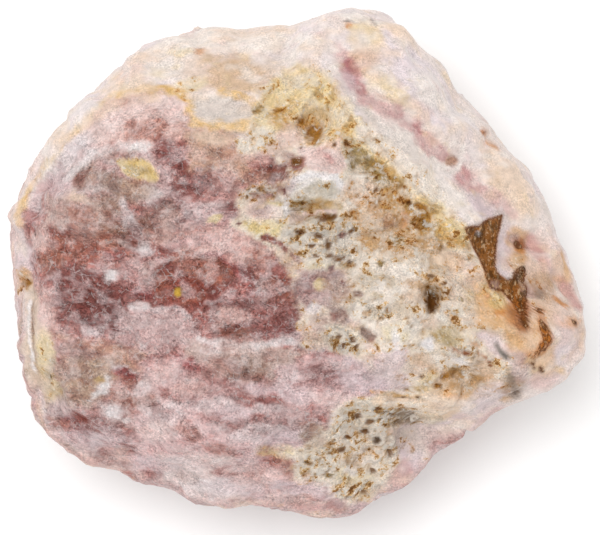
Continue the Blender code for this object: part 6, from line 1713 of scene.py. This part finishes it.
class Wiring:
    """Adds the nodes of one material and joins them up."""

    MIX_SHARE, MIX_FIRST, MIX_SECOND, MIX_RESULT = 0, 6, 7, 2  # sockets of a Mix node set to colours

    def __init__(self, material: bpy.types.Material) -> None:
        """Start from the material's own shader."""
        material.use_nodes = True
        self.tree = material.node_tree
        self.shader = self.tree.nodes["Principled BSDF"]

    def plug(self, socket: Socket, value: object) -> None:
        """Link a socket to another node's output, or set it to a constant."""
        if isinstance(value, Socket):
            self.tree.links.new(value, socket)
        else:
            socket.default_value = value

    def add(self, kind: str, sockets: dict[str | int, object], **settings: object) -> bpy.types.Node:
        """Add a node.

        Args:
            kind: the node's type, without its ShaderNode.
            sockets: what goes into each input.
            settings: the node's own properties.

        Returns:
            The new node.
        """
        node = self.tree.nodes.new("ShaderNode" + kind)
        for name, value in settings.items():
            setattr(node, name, value)
        for name, value in sockets.items():
            self.plug(node.inputs[name], value)
        return node

    def attribute(self, name: str, output: str = "Fac") -> Socket:
        """One of the mesh's own attributes."""
        return self.add("Attribute", {}, attribute_name=name).outputs[output]

    def arithmetic(self, operation: str, first: object, second: object) -> Socket:
        """The largest, the difference or another operation on two numbers."""
        return self.add("Math", {0: first, 1: second}, operation=operation).outputs[0]

    def sum(self, first: object, second: object) -> Socket:
        """The sum of two numbers."""
        return self.arithmetic("ADD", first, second)

    def times(self, first: object, second: object) -> Socket:
        """The product of two numbers."""
        return self.arithmetic("MULTIPLY", first, second)

    def tinge(self, colour: object, by: Triple) -> Socket:
        """A colour, or a place, times three factors."""
        return self.add("VectorMath", {0: colour, 1: by}, operation="MULTIPLY").outputs[0]

    def grow(self, vector: object, by: object) -> Socket:
        """A colour, or a place, times one number."""
        return self.add("VectorMath", {0: vector, "Scale": by}, operation="SCALE").outputs[0]

    def swing(self, value: Socket, swing: Swing) -> Socket:
        """A number moved from the swing's span to its ends, and held between them."""
        span = {"From Min": swing.low, "From Max": swing.high, "To Min": swing.out[0], "To Max": swing.out[1]}
        return self.add("MapRange", {"Value": value} | span).outputs[0]

    def blend(self, share: object, first: object, second: object) -> Socket:
        """A colour between two others; a mineral stands for its colour."""
        first, second = (self.colour(c) if isinstance(c, Mineral) else c for c in (first, second))
        sockets = {self.MIX_SHARE: share, self.MIX_FIRST: first, self.MIX_SECOND: second}
        return self.add("Mix", sockets, data_type="RGBA").outputs[self.MIX_RESULT]

    def colour(self, mineral: Mineral) -> tuple[float, float, float, float]:
        """A mineral's colour with full alpha."""
        return (*mineral.value.values()[:CRYSTAL], 1.0)

    def speckle(self, places: object, speckle: Speckle, output: str = "Fac") -> Socket:
        """A noise whose swells are as wide as the speckle says."""
        scale = 1 / (speckle.size * MM)
        sockets = {"Vector": places, "Scale": scale, "Detail": speckle.detail, "Roughness": speckle.keep}
        return self.add("TexNoise", sockets).outputs[output]

    def cells(self, places: object, size: float, feature: str = "F1") -> bpy.types.Node:
        """Cells that are size millimetres wide."""
        return self.add("TexVoronoi", {"Vector": places, "Scale": 1 / (size * MM)}, feature=feature)

    def veil(self, veil: Veil, share: object, places: object) -> Socket:
        """How much of a finer mineral shows on one kind of surface."""
        clouds = self.speckle(places, Speckle(veil.size, veil.detail, veil.keep))
        return self.times(self.swing(clouds, Swing(veil.low, veil.high, (0.0, veil.most))), share)


class Patterns:
    """What the stone's colours and its bump are made from: the coat's shares, places, speckles and cells."""

    def __init__(self, w: Wiring, surface: "StoneSurface") -> None:
        """Add the nodes that several parts of the material share."""
        self.tint = w.attribute("tint", "Color")
        self.crystal, self.porous, self.rust = (w.attribute(name) for name in SHARES)
        self.chalky = w.arithmetic("MAXIMUM", self.porous, self.rust)
        self.coarse = w.arithmetic("MAXIMUM", self.crystal, self.chalky)
        self.places = w.add("TexCoord", {}).outputs["Object"]
        sway = w.grow(w.speckle(self.places, surface.sway, "Color"), surface.sway_reach * MM)
        self.crooked = w.add("VectorMath", {0: self.places, 1: sway}, operation="ADD").outputs[0]
        self.layered = w.tinge(self.crooked, surface.layer_stretch)
        self.fibrous = w.tinge(self.places, surface.fibre_stretch)
        self.sugar = w.cells(self.crooked, surface.sugar_size)
        self.mottle = w.speckle(self.places, surface.mottle)
        self.dust = w.speckle(self.places, surface.dust)
        self.lace = w.speckle(self.crooked, surface.lace)


@dataclass(frozen=True)
class StoneSurface:
    """The surface of the whole stone: sugary, porous, rusty or smooth, as the coat's shares say."""

    roughness: Swing = Swing(0, 1, (0.42, 0.85))  # from smooth to chalky
    ior: float = 1.5
    gloss: float = 0.2
    glow: float = 0.12  # share of the light that goes into the stone and comes out beside
    glow_reach: float = 1.0  # in millimetres
    glow_spread: Triple = (1.0, 0.75, 0.65)  # how far red, green and blue go of that reach
    sway: Speckle = Speckle(1.2)  # what makes the patterns crooked
    sway_reach: float = 0.8
    layer_stretch: Triple = (0.5, 1.0, 0.8)  # how the layers draw the milk out along x
    fibre_stretch: Triple = (1.0, 0.62, 0.8)  # how the rust's fibres run along y
    # how light or dark it all is
    mottle: Speckle = Speckle(1.0, 6.0, 0.7)
    mottle_tone: Swing = Swing(0.3, 0.7, (0.83, 1.17))
    sugar_size: float = 0.3  # width of a grain of the sugary crystal
    sugar_tone: Swing = Swing(0, 1, (-0.3, 0.3))
    block_size: float = 2.2  # width of a cleaved crystal
    block_tone: Swing = Swing(0, 1, (-0.09, 0.09))
    dust: Speckle = Speckle(0.22, 3.0, 0.65)
    dust_tone: Swing = Swing(0.3, 0.7, (-0.34, 0.34))
    dust_coarse: Swing = Swing(0, 1, (0.55, 1.05))  # how strong the dust is, from smooth to coarse surfaces
    dust_fields: Speckle = Speckle(2.2)
    dust_gathering: Swing = Swing(0.42, 0.58, (0.45, 1.5))  # how strong it is across its fields
    waste: Swing = Swing(0.04, 0.2)  # the porous shares over which the waste begins
    waste_painted_light: float = 0.07  # painted light: how much lighter the waste is painted than its minerals, to offset the shade of its pits
    crumb_size: float = 0.5  # width of a crumb of the waste
    crumb_light_and_shade: Swing = Swing(0.12, 0.6, (0.34, -0.18))  # painted light and shade of the waste's crumbs: lighter in a crumb's middle, darker in the gaps between crumbs
    crumb_fields: Speckle = Speckle(2.6)
    crumb_gathering: Swing = Swing(0.44, 0.58, (0.15, 1.0))
    # the crystal's finer minerals
    recesses: Veil = Veil(1.3, 0.49, 0.62, 0.75)
    recess: Triple = (0.78, 0.55, 0.52)  # what the crystal's recesses do to red, green and blue
    milk: Veil = Veil(1.9, 0.52, 0.64, 0.22)
    bright_milk: Veil = Veil(0.7, 0.56, 0.62, 0.32)
    edge_size: float = 1.5  # width of the crystals whose edges show
    edge_tone: Swing = Swing(0.05, 0.0, (0.0, 0.4))
    edge_fields: Veil = Veil(1.8, 0.5, 0.56, 1.0)
    # the waste's crests and pits, read from its lace
    lace: Speckle = Speckle(1.1, 7.0, 0.74)
    pit_hold: float = 0.085  # how much rarer pits are where the waste is least porous
    crest_hold: float = 1.8  # how many times rarer still the crests are there
    pit_fields: Speckle = Speckle(3.0, 2.0)
    pit_gathering: Swing = Swing(0.4, 0.6, (0.045, -0.045))
    crests: Swing = Swing(0.5, 0.545, (0.0, 0.9))
    seams: Swing = Swing(0.488, 0.448)
    seam: Triple = (0.84, 0.61, 0.31)  # what the ochre round the pits does to red, green and blue
    pits: Swing = Swing(0.436, 0.406, (0.0, 0.95))
    pit: Triple = (0.32, 0.16, 0.05)  # what the pits do to them
    # the rust
    rust_crumbs: Speckle = Speckle(0.5, 5.0, 0.7)
    rust_ragged: float = 1.1  # how much they move the rust's edge about
    rust_light: Veil = Veil(0.5, 0.52, 0.58, 0.9)
    rust_dark: Veil = Veil(0.7, 0.5, 0.56, 0.7)
    rust_rim: Swing = Swing(0.7, 0.54, (0.0, 0.9))
    rust_edge: Swing = Swing(0.45, 0.52)
    # the bump
    bump: float = 0.85
    bump_height: float = 0.22  # in millimetres
    mottle_bump: float = 2.0
    lace_bump: float = 6.0
    dust_bump: Swing = Swing(0, 1, (0.3, 1.0))  # from smooth to coarse surfaces

    def chance(self, w: Wiring, cells: bpy.types.Node) -> Socket:
        """A number of its own for each cell, from 0 to 1."""
        return w.add("SeparateColor", {0: cells.outputs["Color"]}).outputs[0]

    def gathered(self, w: Wiring, p: Patterns, fields: Speckle, gathering: Swing) -> Socket:
        """How strong a pattern is across the fields that it gathers in."""
        return w.swing(w.speckle(p.places, fields), gathering)

    def tone(self, w: Wiring, p: Patterns, waste: Socket) -> Socket:
        """How light or dark the stone's own colours are, with painted light that lifts the waste against the
        shade of its pits, and painted light and shade on its crumbs.

        Args:
            w: adds the nodes.
            p: the patterns that they read.
            waste: where the waste is.

        Returns:
            A number round 1.
        """
        sugar = w.swing(self.chance(w, p.sugar), self.sugar_tone)
        block = w.swing(self.chance(w, w.cells(p.crooked, self.block_size)), self.block_tone)
        dust = w.times(w.swing(p.dust, self.dust_tone), w.swing(p.coarse, self.dust_coarse))
        dust = w.times(dust, self.gathered(w, p, self.dust_fields, self.dust_gathering))
        fine = w.sum(w.times(w.sum(sugar, block), p.crystal), dust)
        tone = w.sum(w.swing(p.mottle, self.mottle_tone), fine)
        tone = w.sum(tone, w.times(waste, self.waste_painted_light))
        # painted light and shade: each crumb of the waste lighter in its middle, darker at its edges
        crumb = w.swing(w.cells(p.crooked, self.crumb_size).outputs["Distance"], self.crumb_light_and_shade)
        gritty = w.times(p.porous, self.gathered(w, p, self.crumb_fields, self.crumb_gathering))
        return w.sum(tone, w.times(crumb, gritty))

    def sugary(self, w: Wiring, p: Patterns, toned: Socket) -> Socket:
        """The crystal's recesses, milk and cleavage edges, over the toned colour."""
        colour = w.blend(w.veil(self.recesses, p.crystal, p.layered), toned, w.tinge(toned, self.recess))
        colour = w.blend(w.veil(self.milk, p.crystal, p.layered), colour, M.MILK)
        colour = w.blend(w.veil(self.bright_milk, p.crystal, p.places), colour, M.BRIGHT_MILK)
        gap = w.cells(p.crooked, self.edge_size, "DISTANCE_TO_EDGE").outputs["Distance"]
        edges = w.times(w.swing(gap, self.edge_tone), w.veil(self.edge_fields, p.crystal, p.places))
        return w.blend(edges, colour, M.BRIGHT_MILK)

    def pitted(self, w: Wiring, p: Patterns, waste: Socket, colour: Socket, toned: Socket) -> Socket:
        """The waste's white crests and its pits, with the ochre round them.

        Args:
            w: adds the nodes.
            p: the patterns that they read.
            waste: where the waste is.
            colour: what lies underneath.
            toned: the toned colour, which the pits darken.

        Returns:
            The colour with crests and pits on it.
        """
        held = w.times(w.arithmetic("SUBTRACT", 1.0, p.porous), self.pit_hold)
        crests = w.arithmetic("SUBTRACT", p.lace, w.times(held, self.crest_hold))
        pits = w.sum(p.lace, w.sum(held, self.gathered(w, p, self.pit_fields, self.pit_gathering)))
        colour = w.blend(w.times(w.swing(crests, self.crests), waste), colour, M.CREAM_WHITE)
        colour = w.blend(w.times(w.swing(pits, self.seams), waste), colour, w.tinge(colour, self.seam))
        return w.blend(w.times(w.swing(pits, self.pits), waste), colour, w.tinge(toned, self.pit))

    def rusted(self, w: Wiring, p: Patterns, colour: Socket, toned: Socket) -> Socket:
        """The rust's fibres and dark rim, wherever its ragged edge lets it show."""
        crumbs = w.arithmetic("SUBTRACT", w.speckle(p.places, self.rust_crumbs), 0.5)
        crumbly = w.sum(p.rust, w.times(crumbs, self.rust_ragged))
        rusty = w.blend(w.veil(self.rust_light, 1.0, p.fibrous), toned, M.RUST_EDGE)
        rusty = w.blend(w.veil(self.rust_dark, 1.0, p.fibrous), rusty, M.DEEP_PORE)
        rusty = w.blend(w.swing(crumbly, self.rust_rim), rusty, M.DARK_RUST)
        return w.blend(w.swing(crumbly, self.rust_edge), colour, rusty)

    def bumps(self, w: Wiring, p: Patterns) -> Socket:
        """The finest unevenness, from the sugar, the lace and the dust."""
        cleaved = w.times(w.sum(p.sugar.outputs["Distance"], w.times(p.mottle, self.mottle_bump)), p.crystal)
        laced = w.times(p.lace, w.times(p.chalky, self.lace_bump))
        height = w.sum(w.sum(cleaved, laced), w.times(p.dust, w.swing(p.coarse, self.dust_bump)))
        sockets = {"Strength": self.bump, "Distance": self.bump_height * MM, "Height": height}
        return w.add("Bump", sockets).outputs[0]

    def make(self) -> bpy.types.Material:
        """Wire up the material.

        Returns:
            The material, whose patterns read the object's own coordinates and the mesh's attributes.
        """
        material = bpy.data.materials.new("raw_calcite")
        w = Wiring(material)
        p = Patterns(w, self)
        waste = w.swing(p.porous, self.waste)
        toned = w.grow(p.tint, self.tone(w, p, waste))
        colour = self.pitted(w, p, waste, self.sugary(w, p, toned), toned)
        sockets = {
            "Base Color": self.rusted(w, p, colour, toned),
            "Roughness": w.swing(p.chalky, self.roughness),
            "Normal": self.bumps(w, p),
            "IOR": self.ior,
            "Specular IOR Level": self.gloss,
            "Subsurface Weight": self.glow,
            "Subsurface Scale": self.glow_reach * MM,
            "Subsurface Radius": self.glow_spread,
        }
        for name, value in sockets.items():
            w.plug(w.shader.inputs[name], value)
        return material


# ---------------------------------------------------------------- the stone


@dataclass(frozen=True)
class Stone:
    """The one piece: six square grids of directions, moved out to the lump's surface."""

    squares: int = 128  # along each side of a grid
    pebble: Triple = (31.0, 28.0, 18.5)  # half axes of the pebble that spreads the grids over the lump
    lift: float = 6.5  # raises the pebble, so that the upper side has the finer grid
    upright: Spot = (0.2, 0.6)  # how far up the stone faces where its forms begin to rise straight up
    lump: Lump = Lump()
    forms: UpperForms = UpperForms()
    coat: Coat = Coat()
    grain: Grain = Grain()
    surface: StoneSurface = StoneSurface()

    def cube(self) -> tuple[Array, Array]:
        """Six square grids, welded: on each, u and v count from 0 to squares and the third place is an end.

        Returns:
            Places on the cube in whole numbers, and the four corners of each face, seen anticlockwise.
        """
        count = np.arange(self.squares + 1)
        u, v = np.meshgrid(count, count, indexing="ij")
        places, faces = [], []
        for axis in range(3):
            for end in (0, self.squares):
                place = np.empty((*u.shape, 3), dtype=int)
                place[..., axis] = end
                place[..., (axis + 1) % 3] = u
                place[..., (axis + 2) % 3] = v
                number = len(places) * u.size + np.arange(u.size).reshape(u.shape)
                corners = (number[:-1, :-1], number[1:, :-1], number[1:, 1:], number[:-1, 1:])
                faces.append(np.stack(corners if end else corners[::-1], axis=-1).reshape(-1, 4))
                places.append(place.reshape(-1, 3))
        welded, index = np.unique(np.concatenate(places), axis=0, return_inverse=True)
        return welded, index.ravel()[np.concatenate(faces)]

    def directions(self, cube: Array) -> Array:
        """Directions from the heart: tan(pi c / 4) spreads each grid evenly, then the pebble stretches it.

        Args:
            cube: whole-numbered places on the cube.

        Returns:
            Vectors of length 1, one per row.
        """
        spread = np.tan((cube / self.squares * 2 - 1) * math.pi / 4)
        pebble = spread / np.linalg.norm(spread, axis=1)[:, None] * self.pebble
        pebble[:, 2] += self.lift
        return pebble / np.linalg.norm(pebble, axis=1)[:, None]

    def points(self, directions: Array) -> tuple[Array, Array]:
        """The finished surface: lump, then main forms, then coat and fine relief.

        Forms rise straight up on the upper side, so that none folds over, and outwards on the walls.

        Args:
            directions: vectors of length 1 from the heart.

        Returns:
            The points in metres, and the coat's six numbers for each.
        """
        base, normals = self.lump.surface(directions)
        drawn = self.lump.draw_out(base)
        height = self.lump.unevenness(base) + self.forms.height(drawn, normals)
        rising = self.lump.rising(directions)
        rising += ramp(rising[:, 2], *self.upright)[:, None] * (np.array([0.0, 0.0, 1.0]) - rising)
        rising /= np.linalg.norm(rising, axis=1, keepdims=True)
        broad = drawn + rising * height[:, None]
        values = self.coat.cover(broad, normals)
        points = broad + rising * self.grain.relief(broad, normals, self.coat, values)[:, None]
        points[:, 2] = np.maximum(points[:, 2] + self.lump.heart_height, 0)
        return points * MM, values

    def build(self) -> bpy.types.Object:
        """Make the mesh and its attributes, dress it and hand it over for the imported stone.

        Returns:
            The finished piece.
        """
        cube, faces = self.cube()
        points, values = self.points(self.directions(cube))
        mesh = bpy.data.meshes.new("raw_calcite")
        mesh.vertices.add(len(points))
        mesh.vertices.foreach_set("co", points.astype(np.float32).ravel())
        mesh.loops.add(faces.size)
        mesh.loops.foreach_set("vertex_index", faces.astype(np.int32).ravel())
        mesh.polygons.add(len(faces))
        mesh.polygons.foreach_set("loop_start", np.arange(0, faces.size, 4, dtype=np.int32))
        mesh.update(calc_edges=True)
        mesh.validate()
        mesh.shade_smooth()
        tint = mesh.attributes.new("tint", "FLOAT_COLOR", "POINT")
        colours = np.column_stack([values[:, :CRYSTAL], np.ones(len(values))])
        tint.data.foreach_set("color", colours.astype(np.float32).ravel())
        for number, name in enumerate(SHARES):
            share = mesh.attributes.new(name, "FLOAT", "POINT")
            share.data.foreach_set("value", values[:, CRYSTAL + number].astype(np.float32))
        mesh.materials.append(self.surface.make())
        piece = bpy.data.objects.new("raw_calcite", mesh)
        bpy.context.scene.collection.objects.link(piece)
        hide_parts("stone")
        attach(piece, "root")
        return piece


# ---------------------------------------------------------------- studio


@dataclass(frozen=True)
class Studio:
    """A plain pale floor, soft light from all round, a softer key from the upper left, and the camera."""

    floor_width: float = 12.0  # in metres
    floor_drop: float = 0.0001
    floor_tone: float = 0.96
    sky: float = 0.85
    key_energy: float = 1.5
    key_azimuth: float = 135.0
    key_rise: float = 72.0
    key_softness: float = 36.0  # width of the sun's disc in degrees
    view_middle: Spot = (0.575, -0.575)  # what the camera looks straight down at
    view_width: float = 69.0
    view_distance: float = 1500.0
    view_level: float = 15.0  # the height that the view's width is measured at
    sensor: float = 36.0

    def floor(self) -> bpy.types.Object:
        """A level square under the stone."""
        half = self.floor_width / 2
        plan = ((-half, -half), (half, -half), (half, half), (-half, half))
        corners = [(x, y, -self.floor_drop) for x, y in plan]
        mesh = bpy.data.meshes.new("floor")
        mesh.from_pydata(corners, [], [(0, 1, 2, 3)])
        material = bpy.data.materials.new("pale_floor")
        wiring = Wiring(material)
        wiring.plug(wiring.shader.inputs["Base Color"], (self.floor_tone,) * 3 + (1.0,))
        wiring.plug(wiring.shader.inputs["Roughness"], 1.0)
        mesh.materials.append(material)
        floor = bpy.data.objects.new("floor", mesh)
        bpy.context.scene.collection.objects.link(floor)
        return floor

    def light(self) -> None:
        """An even sky, and a wide sun whose light comes down from the key's side."""
        world = bpy.data.worlds.new("studio")
        world.use_nodes = True
        world.node_tree.nodes["Background"].inputs["Color"].default_value = (1.0, 1.0, 1.0, 1.0)
        world.node_tree.nodes["Background"].inputs["Strength"].default_value = self.sky
        bpy.context.scene.world = world
        sun = bpy.data.lights.new("key", "SUN")
        sun.energy = self.key_energy
        sun.angle = math.radians(self.key_softness)
        key = bpy.data.objects.new("key", sun)
        key.rotation_euler = (0.0, math.radians(90.0 - self.key_rise), math.radians(self.key_azimuth))
        bpy.context.scene.collection.objects.link(key)

    def camera(self) -> None:
        """A long lens that looks straight down, so that the view's width fills the frame."""
        lens = bpy.data.cameras.new("camera")
        lens.sensor_width = self.sensor
        lens.lens = self.sensor * self.view_distance / self.view_width
        camera = bpy.data.objects.new("camera", lens)
        height = self.view_level + self.view_distance
        camera.location = [place * MM for place in (*self.view_middle, height)]
        bpy.context.scene.collection.objects.link(camera)
        bpy.context.scene.camera = camera

    def build(self) -> None:
        """Set up the floor, the light and the camera, and keep colours as they are."""
        self.floor()
        self.light()
        self.camera()
        bpy.context.scene.view_settings.view_transform = "Standard"


def main() -> None:
    """Build the stone, then the studio round it, and report each."""
    logging.basicConfig(level=logging.INFO, format="%(name)s: %(message)s")
    stone = Stone().build()
    LOG.info("%s: %d points, %d faces", stone.name, len(stone.data.vertices), len(stone.data.polygons))
    Studio().build()
    LOG.info("studio: floor, light and camera")


if __name__ == "__main__":
    main()
